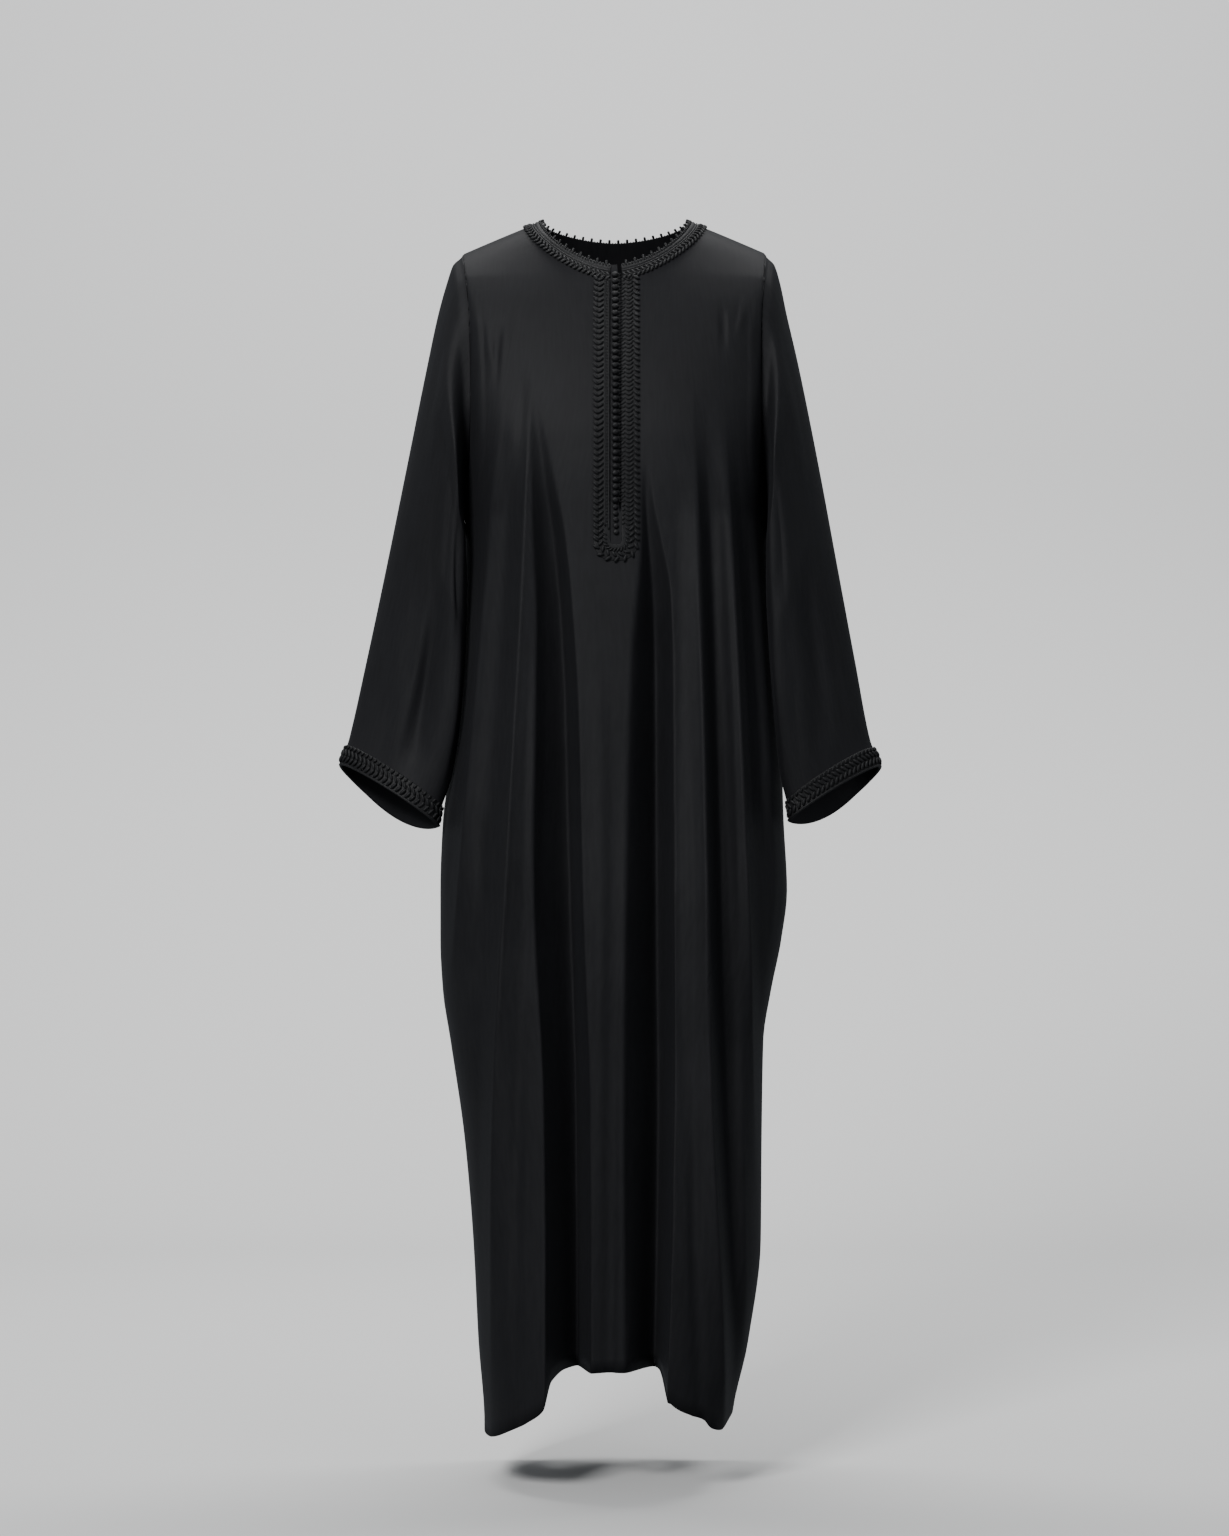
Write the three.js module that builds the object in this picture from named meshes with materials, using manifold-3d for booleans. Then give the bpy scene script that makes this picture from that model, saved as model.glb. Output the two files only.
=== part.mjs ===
// A long black abaya worn open and hollow: front, back, two dropped sleeves, braid and buttons.
// Millimetres, +Z up, the front faces -Y, and the origin lies between the wearer's shoulders.
import * as THREE from 'three';
import Module from 'manifold-3d';
import { mergeVertices } from 'three/addons/utils/BufferGeometryUtils.js';

// ---------------------------------------------------------------- driving sizes
const CLOTH = 1.5; // wall of the crepe
const SEAM_GAP = 0.3; // between two pieces along a seam
const NECK_HALF_WIDTH = 87;
const NECK_TOP = 27; // height of the side of the neck
const FRONT_NECK_DROP = 60;
const BACK_NECK_DROP = 18;
const SHOULDER_SLOPE = 0.46;
const SHOULDER_BEND = 60; // how softly the shoulder line bends at the neck
const SHOULDER_ROUND = 105; // how far down the shoulder rounds over
const ARMHOLE_TOP = -14;
const UNDERARM = -322;
const ARMHOLE_HALF_DEPTH = 72;
const ARMHOLE_WIDEST = -185;
const HEM_SIDE = -1389; // height at which the side seams end, from which the rows are spread
const BODY_ROWS_COUNT = 24; // rows of faces from the shoulder to the hem
const UNDERARM_ROW = 12;
const FRONT_COLUMNS = 40;
const BACK_COLUMNS = 30;
const SLEEVE_ROWS = 12;
const SLIT_X = 5.8;
const SLIT_WIDTH = 1.6;
const SLIT_FOOT = -324;
const PICOT_COUNT = 50; // small loops that stand up round the neck edge
const PICOT_HEIGHT = 3.6;
const PLACKET_LEFT = -25.7; // outer edges of the braid beside the slit
const PLACKET_RIGHT = 28;
const PLACKET_TOP = -57;
const PLACKET_TURN = -356; // where its legs begin to turn round the foot
const PLACKET_FOOT = -381.5;
const PLACKET_WIDTH = 20.6;
const BUTTON_COUNT = 35;
const BUTTON_X = 0;
const BUTTON_TOP = -47;
const BUTTON_PITCH = 7.75;
const BUTTON_SIZE = { x: 8.6, y: 7, z: 7 };
const KNOT_COUNT = 5; // thread knots that carry the line of buttons on to the foot
const KNOT_PITCH = 7.2;
const KNOT_SIZE = { x: 6.2, y: 3.6, z: 6 };
const CUFF_BRAID_WIDTH = 25;
const ON_CLOTH = 0.35; // what lies on the cloth is this far from it

const CREPE = { color: 0x121316, roughness: 0.82, metalness: 0 };
const BRAID = { color: 0x0d0d10, roughness: 0.6, metalness: 0 };

// Across each braid: away from its outer edge, and how far it stands from the cloth. A tooth is how
// far its edge steps out at every other station.
const NECK_PROFILE = [
  { away: 0, stand: 1, tooth: -PICOT_HEIGHT },
  { away: 3, stand: 1.9, tooth: 0 },
  { away: 10, stand: 1.5, tooth: 0 },
  { away: 16.5, stand: 2.8, tooth: 0 },
  { away: 21, stand: 1.1, tooth: 1.4 },
];
const PLACKET_PROFILE = [
  { away: 0, stand: 1.1, tooth: 0 },
  { away: 3.4, stand: 2.8, tooth: 0 },
  { away: 7, stand: 1.4, tooth: 0 },
  { away: 14.5, stand: 1.8, tooth: 0 },
  { away: PLACKET_WIDTH, stand: 1.1, tooth: 0 },
];
const CUFF_PROFILE = [
  { away: 0.4, stand: 1.2 },
  { away: 3, stand: 2 },
  { away: 14, stand: 1.8 },
  { away: 21.5, stand: 2.6 },
  { away: CUFF_BRAID_WIDTH, stand: 1.1 },
];

// The body's outline from the front and its depth before and behind the side seams.
const BODY_SECTIONS = [
  { z: 50, left: 182, right: 180, front: 60, back: 56 },
  { z: 10, left: 181, right: 179, front: 67, back: 67 },
  { z: -14, left: 179, right: 177, front: 71, back: 78 },
  { z: -50, left: 173, right: 173, front: 82, back: 95 },
  { z: -100, left: 169, right: 170, front: 102, back: 106 },
  { z: -150, left: 168, right: 170, front: 119, back: 110 },
  { z: -200, left: 168, right: 170, front: 131, back: 112 },
  { z: -240, left: 169, right: 171, front: 137, back: 111 },
  { z: -290, left: 173, right: 175, front: 139, back: 109 },
  { z: -322, left: 177, right: 178, front: 139, back: 108 },
  { z: -350, left: 177, right: 180, front: 139, back: 108 },
  { z: -466, left: 181, right: 187, front: 140, back: 110 },
  { z: -560, left: 187, right: 193, front: 142, back: 113 },
  { z: -620, left: 195, right: 197, front: 143, back: 115 },
  { z: -680, left: 203, right: 199, front: 144, back: 117 },
  { z: -761, left: 206, right: 203, front: 146, back: 119 },
  { z: -820, left: 206, right: 196, front: 147, back: 121 },
  { z: -879, left: 203, right: 184, front: 149, back: 122 },
  { z: -938, left: 194, right: 175, front: 150, back: 124 },
  { z: -1056, left: 177, right: 173, front: 153, back: 126 },
  { z: -1174, left: 167, right: 172, front: 156, back: 129 },
  { z: -1292, left: 161, right: 157, front: 159, back: 132 },
  { z: -1389, left: 154, right: 138, front: 162, back: 134 },
];

// Each fold hangs along a line of x places; out is how far it stands from the cloth (+) or sinks
// into it (-), and left and right are its widths to either side of the line.
const FRONT_FOLDS = {
  outer_left_ridge: [
    { z: -190, x: -131, left: 16, right: 24, out: 0 },
    { z: -310, x: -143, left: 16, right: 26, out: 9 },
    { z: -568, x: -165, left: 15, right: 28, out: 14 },
    { z: -808, x: -186, left: 14, right: 30, out: 9 },
    { z: -880, x: -192, left: 12, right: 30, out: 0 },
  ],
  inner_left_ridge: [
    { z: -180, x: -99, left: 22, right: 26, out: 0 },
    { z: -356, x: -105, left: 22, right: 30, out: 12 },
    { z: -694, x: -123, left: 24, right: 32, out: 17 },
    { z: -954, x: -137, left: 22, right: 34, out: 18 },
    { z: -1128, x: -143, left: 16, right: 36, out: 12 },
    { z: -1389, x: -144, left: 10, right: 36, out: 5 },
  ],
  left_valley: [
    { z: -180, x: -92, left: 5, right: 6, out: 0 },
    { z: -260, x: -84, left: 12, right: 10, out: -6 },
    { z: -356, x: -70, left: 24, right: 14, out: -20 },
    { z: -440, x: -62, left: 28, right: 14, out: -32 },
    { z: -537, x: -57, left: 34, right: 15, out: -42 },
    { z: -773, x: -51, left: 42, right: 15, out: -54 },
    { z: -1000, x: -45, left: 37, right: 17, out: -60 },
    { z: -1200, x: -44, left: 36, right: 17, out: -66 },
    { z: -1389, x: -44, left: 36, right: 17, out: -74 },
  ],
  right_valley: [
    { z: -260, x: 35, left: 5, right: 6, out: 0 },
    { z: -310, x: 36, left: 7, right: 8, out: -5 },
    { z: -356, x: 39, left: 10, right: 14, out: -13 },
    { z: -420, x: 44, left: 20, right: 20, out: -26 },
    { z: -488, x: 46, left: 28, right: 20, out: -38 },
    { z: -814, x: 48, left: 38, right: 20, out: -56 },
    { z: -1000, x: 50, left: 42, right: 18, out: -64 },
    { z: -1200, x: 48, left: 38, right: 16, out: -72 },
    { z: -1389, x: 45, left: 34, right: 14, out: -80 },
  ],
  centre_recess: [
    { z: -780, x: -9, left: 72, right: 70, out: 0 },
    { z: -1000, x: -9, left: 71, right: 71, out: -11 },
    { z: -1389, x: -9, left: 70, right: 68, out: -34 },
  ],
  inner_right_ridge: [
    { z: -240, x: 92, left: 26, right: 14, out: 0 },
    { z: -356, x: 95, left: 26, right: 14, out: 8 },
    { z: -562, x: 101, left: 28, right: 14, out: 15 },
    { z: -978, x: 110, left: 32, right: 14, out: 19 },
    { z: -1389, x: 127, left: 36, right: 14, out: 14 },
  ],
  outer_right_valley: [
    { z: -170, x: 103, left: 13, right: 18, out: 0 },
    { z: -356, x: 111, left: 13, right: 18, out: -11 },
    { z: -600, x: 119, left: 14, right: 19, out: -18 },
    { z: -978, x: 129, left: 14, right: 19, out: -21 },
    { z: -1300, x: 140, left: 12, right: 13, out: -11 },
    { z: -1389, x: 141, left: 12, right: 12, out: -3 },
  ],
  outer_right_ridge: [
    { z: -190, x: 126, left: 16, right: 14, out: 0 },
    { z: -356, x: 135, left: 17, right: 14, out: 10 },
    { z: -722, x: 151, left: 18, right: 15, out: 15 },
    { z: -954, x: 160, left: 18, right: 12, out: 11 },
    { z: -1128, x: 164, left: 16, right: 8, out: 0 },
  ],
  side_right_valley: [
    { z: -300, x: 151, left: 12, right: 12, out: 0 },
    { z: -415, x: 157, left: 12, right: 13, out: -8 },
    { z: -620, x: 169, left: 13, right: 13, out: -11 },
    { z: -800, x: 174, left: 12, right: 12, out: 0 },
  ],
};

const BACK_FOLDS = {
  left_blade_ridge: [
    { z: -150, x: -96, left: 30, right: 30, out: 0 },
    { z: -420, x: -104, left: 28, right: 30, out: 10 },
    { z: -900, x: -118, left: 26, right: 34, out: 18 },
    { z: -1389, x: -122, left: 24, right: 38, out: 22 },
  ],
  left_valley: [
    { z: -220, x: -58, left: 26, right: 34, out: 0 },
    { z: -560, x: -60, left: 24, right: 34, out: -16 },
    { z: -1000, x: -62, left: 20, right: 36, out: -42 },
    { z: -1389, x: -66, left: 18, right: 38, out: -62 },
  ],
  centre_ridge: [
    { z: -300, x: -8, left: 32, right: 26, out: 0 },
    { z: -760, x: -6, left: 30, right: 26, out: 10 },
    { z: -1389, x: -4, left: 26, right: 26, out: 16 },
  ],
  right_valley: [
    { z: -260, x: 40, left: 26, right: 26, out: 0 },
    { z: -640, x: 43, left: 28, right: 24, out: -20 },
    { z: -1060, x: 48, left: 32, right: 20, out: -44 },
    { z: -1389, x: 50, left: 34, right: 18, out: -60 },
  ],
  right_blade_ridge: [
    { z: -150, x: 92, left: 30, right: 26, out: 0 },
    { z: -480, x: 99, left: 28, right: 24, out: 12 },
    { z: -1389, x: 108, left: 30, right: 22, out: 20 },
  ],
  side_right_valley: [
    { z: -330, x: 134, left: 16, right: 16, out: 0 },
    { z: -700, x: 144, left: 16, right: 16, out: -13 },
    { z: -1160, x: 142, left: 14, right: 14, out: 0 },
  ],
  side_left_valley: [
    { z: -380, x: -142, left: 16, right: 16, out: 0 },
    { z: -760, x: -156, left: 16, right: 18, out: -14 },
    { z: -1100, x: -152, left: 12, right: 14, out: 0 },
  ],
};

// A ridge has a crest. These valleys have one steep side, where the cloth folds back under itself.
const STEEP_SIDES = {
  left_valley: 'left',
  right_valley: 'right',
  outer_right_valley: 'left',
  side_right_valley: 'left',
};

// How much of a fold's height is left at a share of its width from its line; its name ends with
// its form.
const FOLD_FORMS = {
  recess: (t) => (1 - t * t) ** 2,
  ridge: (t) => (1 - t) ** 2 * (1 + 0.8 * t),
  valley: (t) => (1 - t ** 1.4) ** 1.5,
  steep: (t) => 1 - t ** 1.6,
};

// The hem's height at places across the body.
const HEMS = {
  front: [
    { x: -154, z: -1396 },
    { x: -122, z: -1380 },
    { x: -100, z: -1366 },
    { x: -82, z: -1351 },
    { x: -71, z: -1320 },
    { x: -56, z: -1312 },
    { x: 20, z: -1310 },
    { x: 46, z: -1312 },
    { x: 60, z: -1343 },
    { x: 100, z: -1366 },
    { x: 111, z: -1377 },
    { x: 123, z: -1381 },
    { x: 138, z: -1373 },
  ],
  back: [
    { x: -154, z: -1396 },
    { x: -118, z: -1380 },
    { x: -84, z: -1356 },
    { x: -58, z: -1326 },
    { x: -4, z: -1322 },
    { x: 44, z: -1327 },
    { x: 84, z: -1360 },
    { x: 112, z: -1374 },
    { x: 138, z: -1373 },
  ],
};

// Outer and inner edges of each sleeve as seen from the front, from the armhole to the cuff.
const SLEEVES = {
  left: {
    side: -1,
    outer: [
      { z: -14, x: -179 },
      { z: -25, x: -190 },
      { z: -41, x: -196 },
      { z: -82, x: -208 },
      { z: -141, x: -221 },
      { z: -259, x: -245 },
      { z: -377, x: -269 },
      { z: -495, x: -294 },
      { z: -584, x: -314 },
      { z: -615, x: -323 },
    ],
    inner: [
      { z: -322, x: -177 },
      { z: -333, x: -179.8 },
      { z: -347, x: -179 },
      { z: -362, x: -174.6 },
      { z: -400, x: -172.4 },
      { z: -466, x: -173.6 },
      { z: -560, x: -180 },
      { z: -625, x: -190 },
      { z: -686, x: -207 },
    ],
    folds: [
      { name: 'seam crevice', from: -0.06, to: 0.13, angle: 112, width: 64, out: -8 },
      { name: 'elbow trough', from: 0.5, to: 0.9, angle: 108, width: 26, out: -11 },
      { name: 'inner roll', from: 0.35, to: 0.9, angle: 146, width: 24, out: 5 },
      { name: 'armhole trough', from: 0, to: 0.42, angle: 122, width: 30, out: -9 },
      { name: 'back trough', from: 0.3, to: 0.9, angle: 250, width: 34, out: -10 },
      { name: 'back roll', from: 0.15, to: 0.8, angle: 292, width: 30, out: 5 },
    ],
  },
  right: {
    side: 1,
    outer: [
      { z: -14, x: 177 },
      { z: -25, x: 187 },
      { z: -46, x: 194 },
      { z: -82, x: 202 },
      { z: -141, x: 216 },
      { z: -259, x: 240 },
      { z: -377, x: 262 },
      { z: -495, x: 284 },
      { z: -584, x: 301 },
      { z: -617, x: 312 },
    ],
    inner: [
      { z: -322, x: 178 },
      { z: -333, x: 180.8 },
      { z: -347, x: 180.2 },
      { z: -362, x: 176.6 },
      { z: -400, x: 175.8 },
      { z: -466, x: 178.6 },
      { z: -560, x: 186 },
      { z: -625, x: 193 },
      { z: -680, x: 204 },
    ],
    folds: [
      { name: 'seam crevice', from: -0.06, to: 0.13, angle: 112, width: 64, out: -7 },
      { name: 'elbow trough', from: 0.45, to: 0.9, angle: 84, width: 22, out: -5 },
      { name: 'armhole trough', from: 0, to: 0.45, angle: 118, width: 30, out: -8 },
      { name: 'inner roll', from: 0.3, to: 0.9, angle: 142, width: 26, out: 5 },
      { name: 'back trough', from: 0.35, to: 0.9, angle: 262, width: 34, out: -9 },
    ],
  },
};
const CUFF_HALF_DEPTH = 36;
const CUFF_FRONT_RISE = 9; // the cuff's front edge stands above its chord
const CUFF_BACK_DROP = 14; // and its back edge hangs below it
const INNER_FORWARD = 60; // the sleeve's inner edge lies before the body's side
const CUFF_FORWARD = 44;
// the share of the sleeve's length by which its front and back half have come forward
const FORWARD_BY = { front: 0.12, back: 0.16 };
const INNER_HOLLOW = 24; // how far its back half then bends away, round the body's side

// ---------------------------------------------------------------- small maths
const clamp = (value, low, high) => Math.min(high, Math.max(low, value));
const mix = (a, b, t) => a + (b - a) * t;
const smooth = (t) => {
  const s = clamp(t, 0, 1);
  return s * s * (3 - 2 * s);
};

// A smooth curve through one named column of a table, against its place, held flat at the ends.
function track(rows, column, place = 'z') {
  const sorted = [...rows].sort((a, b) => a[place] - b[place]);
  const zs = sorted.map((row) => row[place]);
  const values = sorted.map((row) => row[column]);
  const last = zs.length - 1;
  const chord = (i) => (values[i + 1] - values[i]) / (zs[i + 1] - zs[i]);
  const slopes = zs.map((_, i) => {
    if (i === 0 || i === last) return 0;
    const before = chord(i - 1);
    const after = chord(i);
    return before * after <= 0 ? 0 : (2 * before * after) / (before + after);
  });
  return (z) => {
    if (z <= zs[0]) return values[0];
    if (z >= zs[last]) return values[last];
    const i = zs.findIndex((zNext, k) => k > 0 && z <= zNext) - 1;
    const step = zs[i + 1] - zs[i];
    const t = (z - zs[i]) / step;
    const rest = 1 - t;
    return (
      values[i] * (1 + 2 * t) * rest * rest +
      values[i + 1] * t * t * (3 - 2 * t) +
      slopes[i] * step * t * rest * rest -
      slopes[i + 1] * step * t * t * rest
    );
  };
}

const bodyTracks = Object.fromEntries(
  ['left', 'right', 'front', 'back'].map((column) => [column, track(BODY_SECTIONS, column)]),
);

function foldTracks(table) {
  return Object.entries(table).map(([name, rows]) => {
    const usual = FOLD_FORMS[name.split('_').at(-1)];
    return {
      x: track(rows, 'x'),
      left: track(rows, 'left'),
      right: track(rows, 'right'),
      out: track(rows, 'out'),
      leftForm: STEEP_SIDES[name] === 'left' ? FOLD_FORMS.steep : usual,
      rightForm: STEEP_SIDES[name] === 'right' ? FOLD_FORMS.steep : usual,
    };
  });
}
const folds = { front: foldTracks(FRONT_FOLDS), back: foldTracks(BACK_FOLDS) };

// ---------------------------------------------------------------- the body's surface
const shoulderHeight = (x) => {
  const beyondNeck = Math.hypot(x, SHOULDER_BEND) - Math.hypot(NECK_HALF_WIDTH, SHOULDER_BEND);
  return NECK_TOP - SHOULDER_SLOPE * beyondNeck;
};

function neckHeight(side, x) {
  const drop = side === 'front' ? FRONT_NECK_DROP : BACK_NECK_DROP;
  const t = clamp(Math.abs(x) / NECK_HALF_WIDTH, 0, 1);
  return NECK_TOP - drop * (1 - t ** 1.6) ** 0.65;
}

const topHeight = (side, x) => (Math.abs(x) < NECK_HALF_WIDTH ? neckHeight(side, x) : shoulderHeight(x));

function armholeHalfDepth(z) {
  if (z >= ARMHOLE_WIDEST) return ARMHOLE_HALF_DEPTH;
  const t = (ARMHOLE_WIDEST - z) / (ARMHOLE_WIDEST - UNDERARM);
  return t >= 1 ? 0 : ARMHOLE_HALF_DEPTH * (1 - t ** 1.7);
}

const shoulderRounding = (x, z) => {
  const down = clamp((shoulderHeight(x) - z) / SHOULDER_ROUND, 0, 1);
  return Math.sqrt(1 - (1 - down) ** 2);
};

const halfWidthAt = (x, z) => (x < 0 ? bodyTracks.left(z) : bodyTracks.right(z));

// How far the front or back stands from the plane of the side seams at a place.
function bodyDepth(side, x, z) {
  const halfWidth = halfWidthAt(x, z);
  const across = clamp(Math.abs(x) / halfWidth, 0, 1);
  const centreDepth = bodyTracks[side](z);
  const edgeDepth = Math.min(armholeHalfDepth(z), 0.9 * centreDepth);
  let depth = edgeDepth + (centreDepth - edgeDepth) * Math.sqrt(1 - across ** 2.8);
  const awayFromSeam = 1 - across ** 20;
  for (const fold of folds[side]) {
    const out = fold.out(z);
    if (out === 0) continue;
    const away = x - fold.x(z);
    const t = Math.abs(away) / (away < 0 ? fold.left(z) : fold.right(z));
    if (t < 1) depth += out * (away < 0 ? fold.leftForm(t) : fold.rightForm(t)) * awayFromSeam;
  }
  return depth * shoulderRounding(x, z);
}

const facing = { front: -1, back: 1 };

function bodyPoint(side, x, z) {
  return new THREE.Vector3(x, facing[side] * (bodyDepth(side, x, z) + SEAM_GAP / 2), z);
}

function bodyNormal(side, x, z) {
  const step = 0.5;
  const slopeX = (bodyDepth(side, x + step, z) - bodyDepth(side, x - step, z)) / (2 * step);
  const slopeZ = (bodyDepth(side, x, z + step) - bodyDepth(side, x, z - step)) / (2 * step);
  return new THREE.Vector3(-slopeX, facing[side], -slopeZ).normalize();
}

// A place on the front or back, moved out from the cloth.
const onBody = (side, x, z, out) => bodyPoint(side, x, z).addScaledVector(bodyNormal(side, x, z), out);

// ---------------------------------------------------------------- grids of cloth
const UNDERARM_SHARE = (ARMHOLE_TOP - UNDERARM) / (ARMHOLE_TOP - HEM_SIDE);
const ROW_POWER = Math.log(UNDERARM_SHARE) / Math.log(UNDERARM_ROW / BODY_ROWS_COUNT);
const rowFraction = (row) => (row / BODY_ROWS_COUNT) ** ROW_POWER;

// Places across the body, as shares of its half width, that divide its folded width evenly.
function evenPlaces(side, z, columns) {
  const samples = 300;
  const left = bodyTracks.left(z);
  const right = bodyTracks.right(z);
  const xs = [];
  const lengths = [0];
  for (let i = 0; i <= samples; i += 1) {
    const swing = -Math.cos((Math.PI * i) / samples);
    xs.push(mix(-left, right, (swing + 1) / 2));
    if (i > 0) {
      const rise = bodyDepth(side, xs[i], z) - bodyDepth(side, xs[i - 1], z);
      lengths.push(lengths[i - 1] + Math.hypot(xs[i] - xs[i - 1], rise));
    }
  }
  return Array.from({ length: columns + 1 }, (_, column) => {
    const target = (lengths[samples] * column) / columns;
    const i = clamp(lengths.findIndex((length) => length >= target), 1, samples);
    const t = (target - lengths[i - 1]) / (lengths[i] - lengths[i - 1]);
    const x = mix(xs[i - 1], xs[i], clamp(t, 0, 1));
    return x / halfWidthAt(x, z);
  });
}

// Places along the top edge: round the neck, then straight along each shoulder.
function topPlaces(columns) {
  const half = columns / 2;
  const neckColumns = Math.round(half * 0.55);
  return Array.from({ length: columns + 1 }, (_, column) => {
    const fromCentre = Math.abs(column - half);
    const sign = Math.sign(column - half);
    const shoulderEnd = sign < 0 ? bodyTracks.left(ARMHOLE_TOP) : bodyTracks.right(ARMHOLE_TOP);
    if (fromCentre <= neckColumns) {
      return sign * NECK_HALF_WIDTH * Math.sin((Math.PI / 2) * (fromCentre / neckColumns));
    }
    return sign * mix(NECK_HALF_WIDTH, shoulderEnd, (fromCentre - neckColumns) / (half - neckColumns));
  });
}

const hemHeight = { front: track(HEMS.front, 'z', 'x'), back: track(HEMS.back, 'z', 'x') };

// The panel's outer points, a row for each height and a column for each place across.
function panelPoints(side, columns) {
  const top = topPlaces(columns);
  const topZ = top.map((x, column) => (column % columns === 0 ? ARMHOLE_TOP : topHeight(side, x)));
  const hemZ = evenPlaces(side, HEM_SIDE, columns).map((share) =>
    hemHeight[side](share * halfWidthAt(share, HEM_SIDE)),
  );
  const points = [];
  for (let row = 0; row <= BODY_ROWS_COUNT; row += 1) {
    const v = rowFraction(row);
    const even = evenPlaces(side, mix(-20, -1350, v), columns);
    const topShare = 1 - smooth(v / 0.13);
    points.push(
      top.map((topX, column) => {
        const edge = column % columns === 0;
        const z = mix(topZ[column], hemZ[column], v);
        const halfWidth = halfWidthAt(topX, z);
        const share = edge ? Math.sign(topX) : mix(even[column], topX / halfWidth, topShare);
        return { x: clamp(share, -1, 1) * halfWidth, z };
      }),
    );
  }
  return points;
}

// Outer points of one panel as vectors, with the way its wall is thick at each.
function panelWall(side, columns) {
  const places = panelPoints(side, columns);
  const lastRow = BODY_ROWS_COUNT;
  const outer = places.map((row) => row.map(({ x, z }) => bodyPoint(side, x, z)));
  const flat = new THREE.Vector3(0, facing[side] * (SEAM_GAP / 2), 0);
  for (let row = 0; row <= lastRow; row += 1) {
    for (const column of [0, columns]) {
      const point = outer[row][column];
      const closed = row === 0 || row >= UNDERARM_ROW;
      if (closed) point.y = flat.y;
    }
  }
  outer[0].forEach((point, column) => {
    if (Math.abs(places[0][column].x) >= NECK_HALF_WIDTH - 0.01) point.y = flat.y;
  });
  const normals = gridNormals(outer, -facing[side]);
  for (let row = 0; row <= lastRow; row += 1) {
    for (let column = 0; column <= columns; column += 1) {
      const shoulderSeam = row === 0 && Math.abs(places[0][column].x) >= NECK_HALF_WIDTH - 0.01;
      const sideSeam = column % columns === 0 && row >= UNDERARM_ROW;
      if (shoulderSeam || sideSeam) normals[row][column].setY(0).normalize();
    }
  }
  return { outer, normals };
}

// Unit normals of a grid of points, from its neighbours; turn sets which way they face.
function gridNormals(points, turn, closed = false) {
  const rows = points.length;
  const columns = points[0].length;
  return points.map((line, row) =>
    line.map((_, column) => {
      const up = points[Math.max(row - 1, 0)][column];
      const down = points[Math.min(row + 1, rows - 1)][column];
      const before = closed ? (column + columns - 1) % columns : Math.max(column - 1, 0);
      const after = closed ? (column + 1) % columns : Math.min(column + 1, columns - 1);
      const across = new THREE.Vector3().subVectors(line[after], line[before]);
      const along = new THREE.Vector3().subVectors(down, up);
      return along.cross(across).multiplyScalar(turn).normalize();
    }),
  );
}

// A closed wall between two grids of the same shape, thick at every edge.
function wallGeometry(outer, inner, closed = false) {
  const rows = outer.length;
  const columns = outer[0].length;
  const positions = [];
  for (const grid of [outer, inner]) {
    for (const line of grid) {
      for (const point of line) positions.push(point.x, point.y, point.z);
    }
  }
  const at = (layer, row, column) => layer * rows * columns + row * columns + (column % columns);
  const faces = [];
  const quad = (a, b, c, d) => faces.push(a, b, c, a, c, d);
  const spans = closed ? columns : columns - 1;
  for (let row = 0; row < rows - 1; row += 1) {
    for (let column = 0; column < spans; column += 1) {
      quad(at(0, row, column), at(0, row + 1, column), at(0, row + 1, column + 1), at(0, row, column + 1));
      quad(at(1, row, column), at(1, row, column + 1), at(1, row + 1, column + 1), at(1, row + 1, column));
    }
  }
  for (let column = 0; column < spans; column += 1) {
    quad(at(0, 0, column), at(0, 0, column + 1), at(1, 0, column + 1), at(1, 0, column));
    const end = rows - 1;
    quad(at(0, end, column), at(1, end, column), at(1, end, column + 1), at(0, end, column + 1));
  }
  if (!closed) {
    for (let row = 0; row < rows - 1; row += 1) {
      quad(at(0, row, 0), at(1, row, 0), at(1, row + 1, 0), at(0, row + 1, 0));
      const end = columns - 1;
      quad(at(0, row, end), at(0, row + 1, end), at(1, row + 1, end), at(1, row, end));
    }
  }
  const geometry = new THREE.BufferGeometry();
  geometry.setAttribute('position', new THREE.Float32BufferAttribute(positions, 3));
  geometry.setIndex(faces);
  return facesOut(geometry);
}

// Turns the faces over where the closed surface would hold a negative volume.
function facesOut(geometry) {
  const index = geometry.getIndex().array;
  const position = geometry.getAttribute('position');
  const [a, b, c] = [new THREE.Vector3(), new THREE.Vector3(), new THREE.Vector3()];
  let volume = 0;
  for (let i = 0; i < index.length; i += 3) {
    a.fromBufferAttribute(position, index[i]);
    b.fromBufferAttribute(position, index[i + 1]);
    c.fromBufferAttribute(position, index[i + 2]);
    volume += a.dot(b.cross(c));
  }
  if (volume < 0) {
    for (let i = 0; i < index.length; i += 3) [index[i + 1], index[i + 2]] = [index[i + 2], index[i + 1]];
  }
  return geometry;
}

const inside = (grid, normals, wall) =>
  grid.map((line, row) =>
    line.map((point, column) => point.clone().addScaledVector(normals[row][column], -wall)),
  );

// ---------------------------------------------------------------- joining and cutting
const wasm = await Module();
wasm.setup();

function toManifold(geometry) {
  const bare = mergeVertices(geometry, 1e-4);
  const vertProperties = Float32Array.from(bare.getAttribute('position').array);
  const triVerts = Uint32Array.from(bare.getIndex().array);
  return new wasm.Manifold(new wasm.Mesh({ numProp: 3, vertProperties, triVerts }));
}

function fromManifold(solid) {
  const { vertProperties, triVerts } = solid.getMesh();
  const geometry = new THREE.BufferGeometry();
  geometry.setAttribute('position', new THREE.Float32BufferAttribute(vertProperties, 3));
  geometry.setIndex(new THREE.Uint32BufferAttribute(triVerts, 1));
  return geometry;
}

// ---------------------------------------------------------------- the garment
const abaya = new THREE.Group();

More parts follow.
